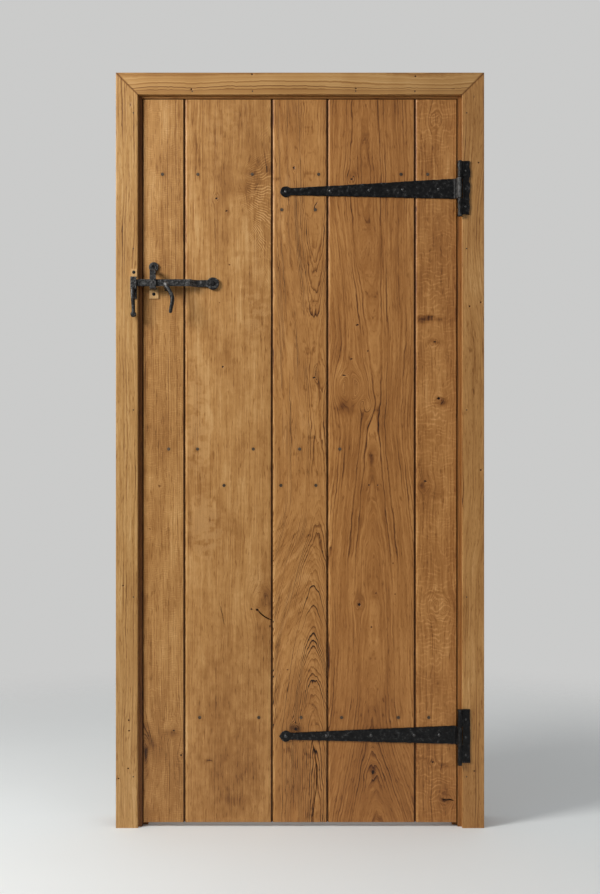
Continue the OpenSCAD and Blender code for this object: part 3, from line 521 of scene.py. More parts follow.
def grain_of(spec, x, depth, z):
    """Rings counted across a board: lines of one number are lines of the grain."""
    place = np.stack([x, depth, z * 0.2], axis=-1)
    u = x + depth * RING_SLANT + noise(place, 0.14, spec["seed"]) * spec.get("wander", 0.004)
    for px, py, reach, stretch in spec.get("knots", ()):
        cx, cz = at_px(px, py)
        reach = reach * PX
        dx, dz = x - cx, (z - cz) / stretch
        r2 = np.maximum(dx * dx + dz * dz, reach * reach * 0.35)
        u = u - dx * reach * reach / r2 * np.exp(-r2 / (reach * reach * 16))
    spacing = spec["spacing"]
    if "axis" not in spec:
        return u / spacing
    middle = (follow(z, spec["axis"]) - MID_PX[0]) * PX
    wide = spec["arch_w"] * PX
    return np.hypot(u - middle, wide) / spacing + follow(z, spec["rise"])


def fine_stretches(spec):
    """Stretches of x and of z where a plank's pits and cracks need close points."""
    fine_x, fine_z = [], []
    for px, py, wide, high, _ in spec.get("pits", ()):
        cx, cz = at_px(px, py)
        half_x, half_z = 1.6 * wide * PX, 1.6 * high * PX
        fine_x.append((cx - half_x, cx + half_x, PIT_STEP))
        fine_z.append((cz - half_z, cz + half_z, PIT_STEP))
    for points, wide, _ in spec.get("cracks", ()):
        ends = np.array([at_px(*p) for p in points])
        low, high = ends.min(0) - 1.2 * wide * PX, ends.max(0) + 1.2 * wide * PX
        upright = high[1] - low[1] > 3 * (high[0] - low[0])
        fine_x.append((low[0], high[0], CRACK_STEP if upright else CRACK_WIDE_STEP))
        fine_z.append((low[1], high[1], CRACK_HIGH_STEP if upright else CRACK_STEP))
    return fine_x, fine_z


def with_ends(places, ends):
    """Places that have both ends of the lever's slot among them, and none in it or close to it."""
    low, high = ends
    places = [p for p in places if p < low - SLOT_ROOM or p > high + SLOT_ROOM]
    return np.sort(np.append(places, ends))


def plank_section(i, x0, x1, left, right, columns, back):
    """Places in x and y round plank i: face with worn bevels, tongue, back, groove.
    Also the number of them that belong to the face and its bevels, which come first."""
    mid_y = (LEAF_Y + BACK_Y) / 2
    loop = [(x0 + left * a, LEAF_Y + left * b) for a, b in BEVEL_CURVE]
    loop += [(c, LEAF_Y) for c in columns]
    loop += [(x1 - right * a, LEAF_Y + right * b) for a, b in BEVEL_CURVE[::-1]]
    front_count = len(loop)
    if i < LAST_PLANK:
        tip = PLANK_EDGES[i + 1] + TONGUE_REACH
        loop += [(x1, mid_y - TONGUE_HALF), (tip, mid_y - TONGUE_HALF),
                 (tip, mid_y + TONGUE_HALF), (x1, mid_y + TONGUE_HALF)]
    loop += [(x1, BACK_Y - right)] + [(c, BACK_Y) for c in back[::-1]] + [(x0, BACK_Y - left)]
    if i > 0:
        bed = PLANK_EDGES[i] + TONGUE_REACH + GROOVE_ROOM
        loop += [(x0, mid_y + GROOVE_HALF), (bed, mid_y + GROOVE_HALF),
                 (bed, mid_y - GROOVE_HALF), (x0, mid_y - GROOVE_HALF)]
    return np.array(loop), front_count


def plank_wear(spec, x, z, flat):
    """At each point: how deep the face lies, how far it is darkened as a hole (partly the dark wood of
    knots, partly painted shade in pits and cracks), and its shade.
    """
    seed = spec["seed"]
    sink = 0.00022 * (1 + noise(flat * [1, 0.35, 1], 0.05, seed))
    pit = np.zeros_like(x)
    shade = np.zeros_like(x)
    rough_x = noise(flat, 0.003, seed) * 0.0012
    rough_z = noise(flat, 0.003, seed + 5) * 0.0012
    for px, py, wide, high, deep in spec.get("pits", ()):
        hole = soft(x + rough_x, z + rough_z, (px, py, wide * 1.4, high * 1.4))
        sink = sink + hole * deep
        pit = np.maximum(pit, np.clip(hole * 2.2 - 0.3, 0, 1) * min(1, deep / 0.0013))
    jog = noise(flat, 0.008, seed) * 0.0007
    for points, wide, deep in spec.get("cracks", ()):
        gap, part = line_gap(x + jog, z + jog, points)
        half = wide * PX / 2 * np.sqrt(np.clip(4 * part * (1 - part) + 0.12, 0.1, 1))
        cleft = np.clip(1 - gap / half, 0, 1)
        sink = sink + np.sqrt(cleft) * deep
        pit = np.maximum(pit, np.clip(cleft * 2.0, 0, 1))
    drift = noise(flat, 0.03, seed)
    stray_x = drift * 0.010 + noise(flat, 0.009, seed) * 0.005
    stray_z = noise(flat, 0.02, seed + 3) * 0.008
    uneven = 1 + 0.7 * noise(flat * [1, 0.3, 1], 0.007, seed + 6)
    for s in spec.get("dark", ()):
        shade -= soft(x + stray_x, z + stray_z, s) * s[4] * uneven
    for s in spec.get("pale", ()):
        shade += soft(x + drift * 0.008, z, s) * s[4]
    for nx, nz in ALL_NAILS:
        r = np.hypot(x - nx, z - nz)
        sink += np.clip(1 - r / NAIL_HOLLOW, 0, 1) ** 2 * 0.0007
        shade -= np.clip(1.15 - r / NAIL_STAIN, 0, 1) * 0.14
    return sink, pit, shade


def plank_rays(spec, x, z):
    """Waves of the ray flecks counted up a plank, and the strength of the flecks."""
    ray_z = z
    for px, py, reach in spec.get("fans", ()):
        cx, cz = at_px(px, py)
        ray_z = cz + (ray_z - cz) * reach * PX / np.maximum(reach * PX + x - cx, 0.3 * reach * PX)
    fleck = np.full_like(x, spec.get("fleck", 0.5))
    for s in spec.get("fleck_at", ()):
        fleck = fleck + soft(x, z, s) * s[4]
    return ray_z / spec.get("ray", 0.006), fleck


def slot_window(rows, loop, front_count):
    """The row, and the columns at the face and at the back, of the quads that the slot joins."""
    (low_x, high_x), (low_z, _) = LEVER_SLOT
    row = int(np.searchsorted(rows, low_z - TINY))
    front_col = int(np.argmin(np.abs(loop[:front_count, 0] - low_x)))
    behind = np.where(np.abs(loop[:, 1] - BACK_Y) < TINY)[0]
    back_col = int(behind[np.argmin(np.abs(loop[behind, 0] - high_x))])
    return row, front_col, back_col


def plank(i, spec, mat):
    """The board that stands for plank i, counted from the left."""
    x0 = PLANK_EDGES[i] + (HALF_GAP if i > 0 else 0)
    x1 = PLANK_EDGES[i + 1] - (HALF_GAP if i < LAST_PLANK else 0)
    left = BEVEL if i > 0 else ARRIS
    right = BEVEL if i < LAST_PLANK else ARRIS
    fine_x, fine_z = fine_stretches(spec)
    columns = spread(x0 + left * BEVEL_END, x1 - right * BEVEL_END, COLUMN_STEP, fine_x)
    rows = spread(*LEAF_Z, ROW_STEP, fine_z)
    back = spread(x0 + left, x1 - right, BACK_STEP)
    slotted = x0 < LEVER_SLOT[0][0] < x1
    if slotted:
        columns = with_ends(columns, LEVER_SLOT[0])
        rows = with_ends(rows, LEVER_SLOT[1])
        back = with_ends(back, LEVER_SLOT[0])
    loop, front_count = plank_section(i, x0, x1, left, right, columns, back)
    grid = np.zeros((len(rows), len(loop), 3))
    grid[:, :, 0] = loop[:, 0]
    grid[:, :, 1] = loop[:, 1]
    grid[:, :, 2] = rows[:, None]
    x, z = grid[:, :, 0].copy(), grid[:, :, 2].copy()
    flat = np.stack([x, z, np.zeros_like(x)], axis=-1)
    seed = spec["seed"]
    sink, pit, shade = plank_wear(spec, x, z, flat)

    # The bevels have frayed edges. Painted shade darkens the joint: the foot of the left bevel and
    # most of the right bevel, which faces away from the key light. A painted highlight lightens the
    # left bevel near its arris, which faces the light
    fray = noise(flat * [0, 1, 0], 0.02, seed) * 0.5 + noise(flat * [0, 1, 0], 0.006, seed)
    joint_shade = np.zeros(len(loop))
    if i > 0:
        joint_shade[:3] = (0.8, 0.15, 0.0)
        shade[:, 1:4] += 0.10
        grid[:, 1:3, 0] += FRAY_DEPTH * fray[:, 1:3]
    if i < LAST_PLANK:
        joint_shade[front_count - 3:front_count] = (0.35, 0.8, 0.95)
        grid[:, front_count - 3:front_count - 1, 0] += FRAY_DEPTH * fray[:, :2]
    pit = np.maximum(pit, joint_shade * (0.92 + 0.08 * fray))

    front = np.zeros(len(loop), bool)
    front[:front_count] = True
    face = front & (np.abs(loop[:, 1] - LEAF_Y) < TINY)
    grid[:, :, 1] += np.where(front, np.where(face, sink, sink * 0.6), 0)
    windows = [slot_window(rows, loop, front_count)] if slotted else []
    piece = skin(spec["node"] + "_board", grid, windows)
    depth = grid[:, :, 1] - LEAF_Y
    ray, fleck = plank_rays(spec, x, z)
    give(piece, grain=grain_of(spec, x, depth, z), shade=shade, pit=np.where(front, pit, 0),
         ray=ray, fleck=fleck)
    stand_for(piece, spec["node"], mat)


# Marks of each plank, at places in px of the picture frame:
# knots are (px, py, reach in px, stretch in height)
# dark, pale and fleck_at are (px, py, half width, half height, amount)
# pits are (px, py, half width, half height, depth in metres)
# cracks are (points, width in px, depth in metres), fans are (px, py, reach in px)
# axis and rise follow the arches of the grain up the plank, as (py, px) and (py, rings)
PLANKS = [
    dict(
        node="left_edge_plank", seed=2.3, spacing=0.0062, fleck=0.5,
        knots=[(173.8, 730, 5, 1.5), (141, 752, 10, 2.2), (181, 755, 3, 1.5), (160, 485, 3, 1.2)],
        dark=[(148, 744, 12, 30, 0.20), (171, 733, 16, 8, 0.20), (146, 780, 6, 60, 0.10),
              # Painted shadow: the two long spots at the left edge stand for the frame's shadow on the
              # board. Painted shade: the broad spot at (160, 770) darkens it towards the bottom
              (143, 460, 9, 460, 0.10), (143, 640, 8, 300, 0.08),
              (160, 770, 40, 90, 0.07),
              (178, 233, 10, 14, 0.10), (163, 160, 18, 22, 0.05), (150, 400, 10, 90, 0.04),
              (155, 815, 30, 16, 0.08)],
        pale=[(174, 128, 16, 30, 0.06), (163, 726, 12, 14, 0.06), (172, 224, 14, 10, 0.10),
              (172, 250, 14, 8, 0.07), (175, 745, 14, 10, 0.06)],
        pits=[(173.8, 730.3, 1.1, 1.0, 0.0012), (181.2, 755, 1.3, 1.1, 0.003),
              (159.5, 486, 1.6, 1.2, 0.0006), (150, 529, 1.4, 0.9, 0.0006)],
    ),
    dict(
        node="left_wide_plank", seed=5.9, spacing=0.0070, fleck=0.55, ray=0.0080,
        fans=[(262, 190, 42)],
        knots=[(216.5, 198.5, 3, 1.6), (262, 600, 9, 1.3), (252, 176, 8, 1.4)],
        fleck_at=[(261, 212, 27, 78, 1.15), (198, 420, 18, 110, 1.7), (205, 528, 26, 46, 2.1),
                  (225, 130, 30, 40, 0.6), (256, 310, 24, 50, 1.2), (258, 580, 14, 20, 1.0)],
        dark=[(266, 169, 26, 17, 0.15), (244, 189, 24, 12, 0.15), (226, 180, 7, 90, 0.06),
              # Painted shade: the broad spots at (228, 740) and (236, 800) darken the board towards
              # the bottom
              (240, 254, 9, 5, 0.14), (228, 740, 70, 170, 0.14), (258, 150, 40, 110, 0.06),
              (226, 210, 5, 14, 0.12), (268, 598, 15, 24, 0.30), (262, 615, 18, 18, 0.12),
              (209.5, 760.5, 7, 2.2, 0.22),
              (236, 800, 34, 22, 0.10), (190, 540, 8, 16, 0.10), (254, 190, 8, 30, 0.05),
              (260, 640, 16, 60, 0.05), (252, 480, 12, 60, 0.05)],
        pale=[(194, 290, 18, 240, 0.10), (202, 130, 24, 70, 0.10), (240, 262, 16, 20, 0.07),
              (262, 232, 12, 12, 0.06), (205, 420, 16, 80, 0.05)],
        pits=[(216.5, 198.5, 1.2, 1.0, 0.0014), (226.5, 211, 1.0, 1.0, 0.0010),
              (222.7, 366.8, 1.0, 1.0, 0.0016), (251.5, 609, 1.4, 1.0, 0.0010),
              (257.4, 609.8, 1.5, 1.4, 0.005), (219.8, 303, 0.8, 0.8, 0.0008),
              (229.5, 265, 0.9, 0.9, 0.0008), (270, 626, 1.0, 1.6, 0.0008)],
        cracks=[([(257.4, 609.8), (261, 613.5), (265, 616.8), (269, 619), (272.6, 620.4)], 1.1, 0.007),
                ([(220.5, 606), (222.5, 614), (224.5, 624.5)], 0.55, 0.0012),
                ([(207, 760.6), (210, 760.3), (213, 760.8)], 0.5, 0.0008)],
    ),
    dict(
        node="middle_plank", seed=9.1, spacing=0.0030, fleck=0.15, wander=0.006, arch_w=12,
        axis=[(60, 312), (240, 314), (330, 313), (420, 316), (520, 318), (560, 313), (640, 311),
              (720, 314), (830, 316)],
        rise=[(60, 8), (235, 8), (335, 15), (420, 15.5), (500, 14), (545, 10), (700, -13),
              (740, -17), (830, -19)],
        knots=[(319, 373, 6, 2.4), (316, 207, 4, 2.0), (295.6, 728, 4, 1.3), (294, 168, 2, 2.5),
               (321, 490, 4, 3.0)],
        dark=[(295.6, 728.5, 6, 6, 0.26), (300, 690, 18, 40, 0.05), (320, 520, 10, 60, 0.05),
              # Painted shade: the broad spot at (300, 770) darkens the board towards the bottom
              (300, 770, 40, 120, 0.12), (278, 178, 9, 3, 0.16), (316, 205, 8, 10, 0.10),
              (317, 380, 9, 12, 0.12), (276, 800, 10, 30, 0.07), (322, 200, 8, 60, 0.05)],
        pale=[(284, 330, 12, 160, 0.04), (310, 120, 16, 40, 0.04)],
        pits=[(294, 168, 0.9, 2.2, 0.0014), (314.3, 377.5, 1.6, 0.9, 0.0016),
              (319.5, 769.5, 0.8, 0.9, 0.0010), (295.8, 729, 1.6, 2.0, 0.0014),
              (287.6, 669.6, 0.9, 0.7, 0.0008)],
        cracks=[([(312, 742), (314.5, 750), (316.2, 763), (316.8, 776), (316, 790), (314, 806),
                  (312.6, 822)], 0.75, 0.004),
                ([(317.5, 202), (315, 206), (314, 212)], 0.9, 0.0012)],
    ),
    dict(
        node="right_wide_plank", seed=13.7, spacing=0.0074, fleck=0.1, wander=0.007, arch_w=5.0,
        axis=[(60, 366), (200, 366), (330, 374), (420, 371), (520, 372), (640, 374), (740, 373),
              (830, 379)],
        rise=[(60, 3), (180, 2), (260, 4), (420, 6), (450, 5), (560, 1), (700, 0), (745, -2),
              (830, -10)],
        knots=[(366, 248, 6, 3.2), (350, 388, 12, 1.5), (365, 405, 6, 1.4), (359.3, 604, 5, 1.5),
               (351.6, 179, 3.5, 1.8), (373, 772, 4, 1.6), (372, 455, 3, 4.0)],
        dark=[(345, 407, 16, 12, 0.24), (360, 600, 9, 12, 0.16), (373, 772, 5, 8, 0.12),
              # Painted shade: the broad spot at (370, 760) darkens the board towards the bottom
              (370, 760, 60, 140, 0.10),
              (373, 462, 5, 17, 0.30), (352, 176, 9, 9, 0.14), (400, 240, 14, 160, 0.06),
              (335, 700, 10, 80, 0.05), (376, 593, 5, 8, 0.10), (366, 252, 6, 12, 0.06)],
        pale=[(338, 372, 16, 22, 0.12), (367, 408, 10, 14, 0.06), (372, 590, 9, 40, 0.05)],
        pits=[(359.3, 604.5, 1.5, 1.6, 0.004), (376, 593, 0.9, 1.2, 0.0008),
              (371.5, 627, 0.9, 1.0, 0.0012), (351.6, 179.3, 1.2, 1.0, 0.0012),
              (357, 325, 1.7, 0.9, 0.0014), (368, 351, 0.9, 0.9, 0.0012),
              (344, 375.5, 1.8, 0.9, 0.0014), (351.5, 359, 1.4, 0.9, 0.0010),
              (373, 772, 1.5, 2.4, 0.0014), (369, 485, 0.8, 0.8, 0.0022),
              (377.5, 485, 0.8, 0.8, 0.0022), (395, 594, 0.9, 0.9, 0.0008),
              (393, 563, 0.9, 0.9, 0.0008)],
        cracks=[([(414, 652), (414.6, 660)], 1.0, 0.003)],
    ),
    dict(
        node="right_edge_plank", seed=17.2, spacing=0.0085, fleck=0.7, ray=0.012,
        knots=[(438.8, 399, 5, 1.0), (434, 342, 5, 0.9), (440, 607, 9, 1.1), (424, 486, 6, 1.0),
               (446, 799, 6, 0.8), (436, 120, 6, 1.4), (432, 763, 2.5, 0.8)],
        fleck_at=[(435, 280, 20, 40, 0.5), (436, 420, 20, 30, 0.6), (436, 620, 20, 60, 0.8),
                  (436, 120, 20, 40, 0.4), (436, 780, 20, 40, 0.6)],
        dark=[(427, 320, 18, 4.5, 0.36), (446, 320, 16, 5, 0.16), (423, 486, 8, 5, 0.34),
              (434, 494, 20, 4, 0.10), (441, 402, 11, 5, 0.26), (444, 799, 11, 5, 0.30),
              (446, 765.5, 13, 4, 0.30), (421, 758, 9, 4, 0.26), (434, 594, 22, 3, 0.12),
              (420, 330, 8, 60, 0.05),
              (432, 812, 24, 14, 0.08), (436, 343, 12, 4, 0.20)],
        pale=[(436, 350, 18, 10, 0.05), (434, 588, 22, 3, 0.08), (436, 500, 20, 3, 0.06),
              (436, 150, 30, 100, 0.06),
              (434, 758, 20, 4, 0.06)],
        pits=[(438.8, 398.5, 1.7, 1.3, 0.004), (434.5, 342, 1.3, 0.9, 0.0014),
              (432.5, 762, 1.3, 0.8, 0.0016), (425, 481, 1.6, 1.0, 0.0010)],
        cracks=[([(442, 798.6), (446, 800), (450, 799.4), (453.5, 800.4)], 1.7, 0.003)],
    ),
]
OAK_TONES = [
    dict(tone=0.75, lines=0.32, fleck=0.20, streaks=0.70, patches=0.44, blots=1.0, warm=0.95),
    dict(tone=0.78, lines=0.24, fleck=0.26, streaks=0.58, patches=0.46, blots=1.0, warm=0.935),
    dict(tone=0.765, lines=1.10, fleck=0.05, patches=0.30, blots=0.7, warm=0.88, wavy=2.4,
         grit=0.55, cross=160.0),
    dict(tone=0.685, lines=0.50, fleck=0.04, streaks=0.76, patches=0.32, blots=0.6, warm=0.85,
         wavy=1.5),
    dict(tone=0.715, lines=0.30, fleck=0.17, streaks=0.60, patches=0.50, blots=0.8, warm=0.85),
]
for i, spec in enumerate(PLANKS):
    plank(i, spec, oak(f"oak_plank_{i + 1}", seed=spec["seed"], **OAK_TONES[i]))


# Boards of the frame

def architrave(node, side, front, mat, seed, holes=()):
    """A mitred board; side is -1 or 1 for the legs and 0 for the head."""
    low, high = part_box(node)
    y_face, y_seat = (low.y, high.y) if front else (high.y, low.y)
    inward = 1 if front else -1

    def turned(place):
        """A place in x and z, as its place across and along the board."""
        return place if side else place[::-1]

    hole_places = [turned(at_px(*h)) for h in holes]
    fine_across = [(a - HOLE_ROOM, a + HOLE_ROOM, HOLE_STEP) for a, _ in hole_places]
    fine_along = [(t - HOLE_ROOM, t + HOLE_ROOM, HOLE_STEP) for _, t in hole_places]
    a0, a1 = (sorted((side * TRIM_IN, side * TRIM_OUT)) if side else (TRIM_LOW, TRIM_TOP))
    columns = spread(a0 + TRIM_EASE, a1 - TRIM_EASE, TRIM_COLUMN_STEP, fine_across)
    arris = [(TRIM_EASE * math.cos(t), y_face + inward * TRIM_EASE * (1 - math.sin(t)))
             for t in np.radians([0, 22, 45, 68])]
    loop = [(a0 + TRIM_EASE - a, y) for a, y in arris]
    loop += [(c, y_face) for c in columns]
    loop += [(a1 - TRIM_EASE + a, y) for a, y in arris[::-1]]
    front_count = len(loop)
    loop += [(a1, y_seat), (a0, y_seat)]
    loop = np.array(loop)

    # Rows run straight along the board, and turn to the line of the mitre over its last stretch
    if side:
        stretch = spread(0, TRIM_TOP, TRIM_ROW_STEP, fine_along)[:, None]
        reach = TRIM_LOW + np.abs(loop[:, 0]) - TRIM_IN
        limit = TRIM_TOP
    else:
        stretch = spread(-TRIM_OUT, TRIM_OUT, TRIM_ROW_STEP, fine_along)[:, None]
        reach = TRIM_IN + loop[:, 0] - TRIM_LOW
        limit = TRIM_OUT
    bound = reach[None, :] - MITRE_RUN
    over = np.clip((np.abs(stretch) - bound) / (limit - bound), 0, 1)
    along = np.where(np.abs(stretch) > bound, np.sign(stretch) * (bound + over * MITRE_RUN), stretch)
    across = np.broadcast_to(loop[:, 0], along.shape)
    grid = np.zeros((*along.shape, 3))
    grid[:, :, 0], grid[:, :, 2] = (across, along) if side else (along, across)
    grid[:, :, 1] = loop[:, 1]
    flat = np.stack([across, along, np.zeros_like(along)], axis=-1)
    sink = 0.00018 * (1 + noise(flat * [1, 0.3, 1], 0.05, seed))
    pit = np.zeros_like(along)
    for a, t in hole_places:
        hole = np.clip(1.3 - np.hypot(across - a, along - t) / HOLE_R, 0, 1)
        sink += hole * 0.003
        pit = np.maximum(pit, hole)
    for name in ("front_architrave_nails", "back_architrave_nails"):
        for a, t in map(turned, head_places(name)):
            sink += np.clip(1.2 - np.hypot(across - a, along - t) / 0.005, 0, 1) * 0.0003
    front_part = np.zeros(len(loop), bool)
    front_part[:front_count] = True
    grid[:, :, 1] += np.where(front_part, sink * inward, 0)
    piece = skin(node + "_board", grid)
    warp = noise(flat * [1, 0.22, 1], 0.07, seed) * 0.016
    warp += noise(flat * [1, 0.2, 1], 0.02, seed) * 0.003
    depth = np.abs(grid[:, :, 1] - y_face)
    shade = noise(flat * [1, 0.4, 1], 0.09, seed + 2) * 0.06
    # Painted shade: the legs darken towards the bottom, where the light falls off
    if side:
        shade -= 0.045 * np.clip(1 - along / 0.8, 0, 1)

    # The mitres show as dark lines: one end of a leg, both ends of a head
    for end in ([-1] if side else [-1, 0]):
        pit[end] = np.maximum(pit[end], 0.55)
    give(piece, grain=(across + depth * RING_SLANT + warp) / 0.0075, shade=shade, pit=pit,
         ray=along / 0.006, fleck=np.full_like(along, 0.2))
    stand_for(piece, node, mat)


LEFT_HOLES = [(131.6, 106), (129.6, 719), (130, 729.5), (129, 767), (119.5, 777), (124, 585)]
RIGHT_HOLES = [(473, 98), (478, 164), (480, 303), (469, 307), (480, 470), (473.5, 769.6)]
HEAD_HOLES = [(192, 91), (252.4, 76), (355.7, 90), (415, 78), (450, 85.5), (452, 90)]
leg_left = oak("oak_leg_left", seed=21.4, tone=0.80, lines=0.48, streaks=0.70, warm=1.01)
leg_right = oak("oak_leg_right", seed=25.8, tone=0.755, lines=0.44, streaks=0.66, patches=0.32,
                blots=0.7, warm=0.94)
head_mat = oak("oak_head", seed=29.3, tone=0.775, lines=0.90, streaks=1.05)
architrave("front_left_architrave", -1, True, leg_left, 21.4, LEFT_HOLES)
architrave("front_right_architrave", 1, True, leg_right, 25.8, RIGHT_HOLES)
architrave("front_head_architrave", 0, True, head_mat, 29.3, HEAD_HOLES)
architrave("back_left_architrave", -1, False, leg_left, 22.4)
architrave("back_right_architrave", 1, False, leg_right, 26.8)
architrave("back_head_architrave", 0, False, head_mat, 30.3)

# Painted shade: the left jamb's oak is darker than the right one's, as the left jamb lies in the
# shadow of the left architrave
wear(["left_jamb", "left_stop"], oak(
    "oak_jamb_left_shaded", along="z", seed=35.7, tone=0.49, warm=0.86, spacing=0.0040, lines=0.24,
    rebate_shade=0.85))
wear(["right_jamb", "right_stop"], oak(
    "oak_jamb", along="z", seed=33.9, tone=0.71, warm=0.88, spacing=0.0040, lines=0.60,
    rebate_shade=0.85))
wear(["head_lining", "head_stop"], oak(
    "oak_lining", along="x", seed=37.1, tone=0.62, warm=0.92, spacing=0.0040, lines=0.24))
wear(["lower_ledge", "middle_ledge", "upper_ledge"], oak(
    "oak_ledge", along="x", seed=41.6, tone=0.70, warm=0.95, spacing=0.0062, lines=0.30))
wear(["staple_pad", "catch_pad"], oak(
    "oak_pad", along="z", seed=45.2, tone=0.96, spacing=0.0040, lines=0.12))


# Iron

def forged(name, mat, voxel, dent=0.0008, seed=0.0, bias=0.3, ragged=None, glint_boxes=()):
    """The node's shape in even small faces, hammered inward; ragged is (axis, place, side, depth).
    Each box given, (low corner, high corner, amount), gets a painted highlight: a lighter grey where
    the iron catches the key light."""
    piece = bpy.data.objects.new(name + "_forged", nodes[name].data.copy())
    scene.collection.objects.link(piece)
    even = piece.modifiers.new("even", "REMESH")
    even.mode = "VOXEL"
    even.voxel_size = voxel
    ease = piece.modifiers.new("ease", "SMOOTH")
    ease.factor = 0.5
    ease.iterations = 1
    ready = piece.evaluated_get(bpy.context.evaluated_depsgraph_get())
    mesh = bpy.data.meshes.new_from_object(ready)
    piece.modifiers.clear()
    piece.data = mesh
    count = len(mesh.vertices)
    co = np.zeros(count * 3)
    normal = np.zeros(count * 3)
    mesh.vertices.foreach_get("co", co)
    mesh.vertex_normals.foreach_get("vector", normal)
    co, normal = co.reshape(-1, 3), normal.reshape(-1, 3)
    blow = 0.65 * noise(co, HAMMER_WAVE, seed) + 0.35 * noise(co, HAMMER_WAVE * 0.45, seed + 2)
    move = normal * (-dent * (bias + blow))[:, None]
    if ragged:
        axis, place, side, deep = ragged
        edge = np.clip(1 - np.abs(co[:, axis] - place) / RAGGED_REACH, 0, 1)
        bite = 0.45 + 0.8 * noise(co * [0, 0, 1], 0.013, seed + 4)
        bite = np.clip(bite + 0.4 * noise(co * [0, 0, 1], 0.006, seed + 5), 0, 1)
        move[:, axis] -= side * edge * bite * deep
    # Painted highlight: a lighter grey in each given box
    worn = np.zeros(count)
    for a, b, amount in glint_boxes:
        outside = np.linalg.norm(np.maximum(np.maximum(a - co, co - b), 0), axis=1)
        worn = np.maximum(worn, amount * np.clip(1 - outside / GLINT_FADE, 0, 1))
    give(piece, worn=worn)
    low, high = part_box(name)
    mesh.vertices.foreach_set("co", np.clip(co + move, low, high).ravel())
    mesh.update()
    mesh.shade_smooth()
    stand_for(piece, name, mat)


# Boxes that get a painted highlight, where curves and facets of the iron catch the key light
strap_knuckle = [((0.4295, -1, 0), (0.4365, 1, 3), 0.60)]
plate_knuckle = [((0.40, -1, 0), (0.4380, 1, 3), 0.25)]
bar_step = [((-0.310, -1, 1), (-0.286, 1, 2), 0.30)]
tail_front = [((-0.4665, -1, 1.446), (-0.4585, 1, 1.462), 0.50)]
lever_top = [((-0.372, -1, 1.480), (-0.362, -0.052, 1.490), 0.60)]
# The latch's iron is lighter with a stronger grey mottle, partly its own scale and partly painted
# sheen
black = iron("black_iron", light=0.36, shine=0.26, mottle=1.35)
latch_iron = iron("latch_iron", seed=2.0, light=0.50, rough=0.36, shine=0.6, rise=1.0, mottle=2.0,
                  spots=160.0)
upper_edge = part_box("upper_hinge_plate")[1].x
lower_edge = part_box("lower_hinge_plate")[1].x
forged("upper_hinge_strap", black, 0.0014, seed=1, glint_boxes=strap_knuckle)
forged("lower_hinge_strap", black, 0.0014, seed=2)
forged("upper_hinge_plate", black, 0.0012, seed=3, ragged=(0, upper_edge, 1, 0.0036),
       glint_boxes=plate_knuckle)
forged("lower_hinge_plate", black, 0.0012, seed=4, ragged=(0, lower_edge, 1, 0.0008))
forged("latch_bar", latch_iron, 0.0009, 0.0004, seed=5, bias=-0.7, glint_boxes=bar_step)
forged("latch_staple", latch_iron, 0.0009, 0.0004, seed=6, bias=-0.7)
forged("latch_catch", latch_iron, 0.0009, 0.0004, seed=7, bias=-0.7, glint_boxes=tail_front)
forged("thumb_lever", latch_iron, 0.0009, 0.0004, seed=8, bias=-0.7, glint_boxes=lever_top)
forged("pull_handle", black, 0.0014, 0.0004, seed=9, bias=-0.5)

screw_mat = iron("iron_screws", seed=4.0, light=0.44, rough=0.34, shine=1.0, rise=0.15)
dark_mat = iron("iron_dark_screws", seed=5.0, light=0.34, rough=0.6, shine=0.2, rise=0.2)
nail_mat = iron("iron_nails", seed=6.0, light=0.5, rough=0.6, stops=NAIL, shine=0.4)
fixings = [n for n in nodes if n.endswith(("_screws", "_pin"))] + ["latch_pivot"]
wear(fixings, screw_mat)
wear(["latch_pivot", "staple_screws", "catch_screws"], dark_mat)
wear([n for n in nodes if n.endswith("_nails")], nail_mat)


# Studio

def plain_material(name, colour, fade=None):
    """A matt colour, which may fade out between two distances from the middle."""
    mat, tree, shader = new_material(name)
    x, y, z = place_fields(tree)
    mottle = cloud(tree, x * 2, y * 2, z, 2.0)
    tree.links.new(
        ramp(tree, mottle, [(0.3, [c * 0.985 for c in colour]), (0.7, colour)]),
        shader.inputs["Base Color"])
    shader.inputs["Roughness"].default_value = 0.7
    shader.inputs["Specular IOR Level"].default_value = 0.2
    if fade:
        away = (x * x + y * y).root().smooth(fade[1], fade[0])
        tree.links.new(away.socket, shader.inputs["Alpha"])
    return mat


def make_floor():
    """The floor of the studio, which is no part of the object."""
    grid = bmesh.new()
    bmesh.ops.create_circle(grid, cap_ends=True, segments=96, radius=6.0)
    mesh = bpy.data.meshes.new("floor")
    grid.to_mesh(mesh)
    grid.free()
    floor = bpy.data.objects.new("floor", mesh)
    scene.collection.objects.link(floor)
    mesh.materials.append(plain_material("studio_floor", (0.835, 0.87, 0.88), (1.1, 2.8)))
    return floor


def add_light(name, place, aim, size, power, colour=(1, 1, 1)):
    """A round light that faces a place."""
    data = bpy.data.lights.new(name, "AREA")
    data.shape = "DISK"
    data.size = size
    data.energy = power
    data.color = colour
    light = bpy.data.objects.new(name, data)
    light.location = place
    light.rotation_euler = (Vector(aim) - Vector(place)).to_track_quat("-Z", "Y").to_euler()
    scene.collection.objects.link(light)
    return light


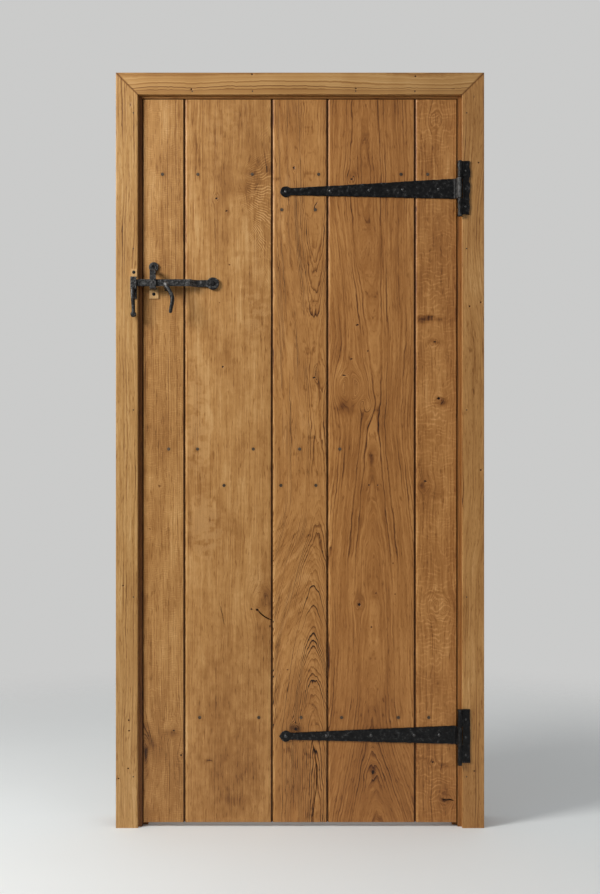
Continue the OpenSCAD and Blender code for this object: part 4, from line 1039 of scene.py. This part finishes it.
def aim_at(light, piece, state):
    """A light that reaches only one piece of the stage, or all but that piece."""
    pieces = bpy.data.collections.new(light.name + "_pieces")
    pieces.objects.link(piece)
    pieces.collection_objects[0].light_linking.link_state = state
    light.light_linking.receiver_collection = pieces


def make_world(shown, low, high):
    """A world that the camera sees as one pale grey, and that lights the object mostly from above."""
    world = bpy.data.worlds.new("studio")
    world.use_nodes = True
    tree = world.node_tree
    back = tree.nodes["Background"]
    path = tree.nodes.new("ShaderNodeLightPath")
    mix = tree.nodes.new("ShaderNodeMix")
    mix.data_type = "RGBA"
    where = tree.nodes.new("ShaderNodeTexCoord")
    parts = tree.nodes.new("ShaderNodeSeparateXYZ")
    tree.links.new(where.outputs["Generated"], parts.inputs[0])
    up = Field(tree, parts.outputs[2]).smooth(-0.1, 0.9)
    lit = ramp(tree, up, [(0.0, [low] * 3), (1.0, [high] * 3)])
    colour_a, colour_b = mix.inputs[6], mix.inputs[7]
    mixed = mix.outputs[2]
    tree.links.new(path.outputs["Is Camera Ray"], mix.inputs["Factor"])
    tree.links.new(lit, colour_a)
    colour_b.default_value = (*shown, 1)
    tree.links.new(mixed, back.inputs["Color"])
    scene.world = world


floor = make_floor()
add_light("key", (-2.4, -1.65, 2.55), (0, 0, 1.1), 1.2, 90, (1.0, 0.975, 0.94))
add_light("fill", (2.4, -3.4, 2.4), (0, 0, 1.0), 2.4, 14)
back_fill = add_light("back_fill", (1.9, 3.1, 2.5), (0, 0, 1.0), 2.6, 40)
floor_fill = add_light("floor_fill", (0, 0.4, 4.5), (0, 0.4, 0), 5.0, 26)
aim_at(back_fill, floor, "EXCLUDE")
aim_at(floor_fill, floor, "INCLUDE")
make_world((0.595, 0.596, 0.590), 0.07, 0.42)
scene.view_settings.view_transform = "Standard"

camera = bpy.data.objects.new("camera", bpy.data.cameras.new("camera"))
camera.data.lens = 53.1
camera.data.sensor_width = 36
camera.location = (0, FACE_Y - CAMERA_AWAY, EYE_Z)
camera.rotation_euler = (math.radians(90), 0, 0)
scene.collection.objects.link(camera)
scene.camera = camera
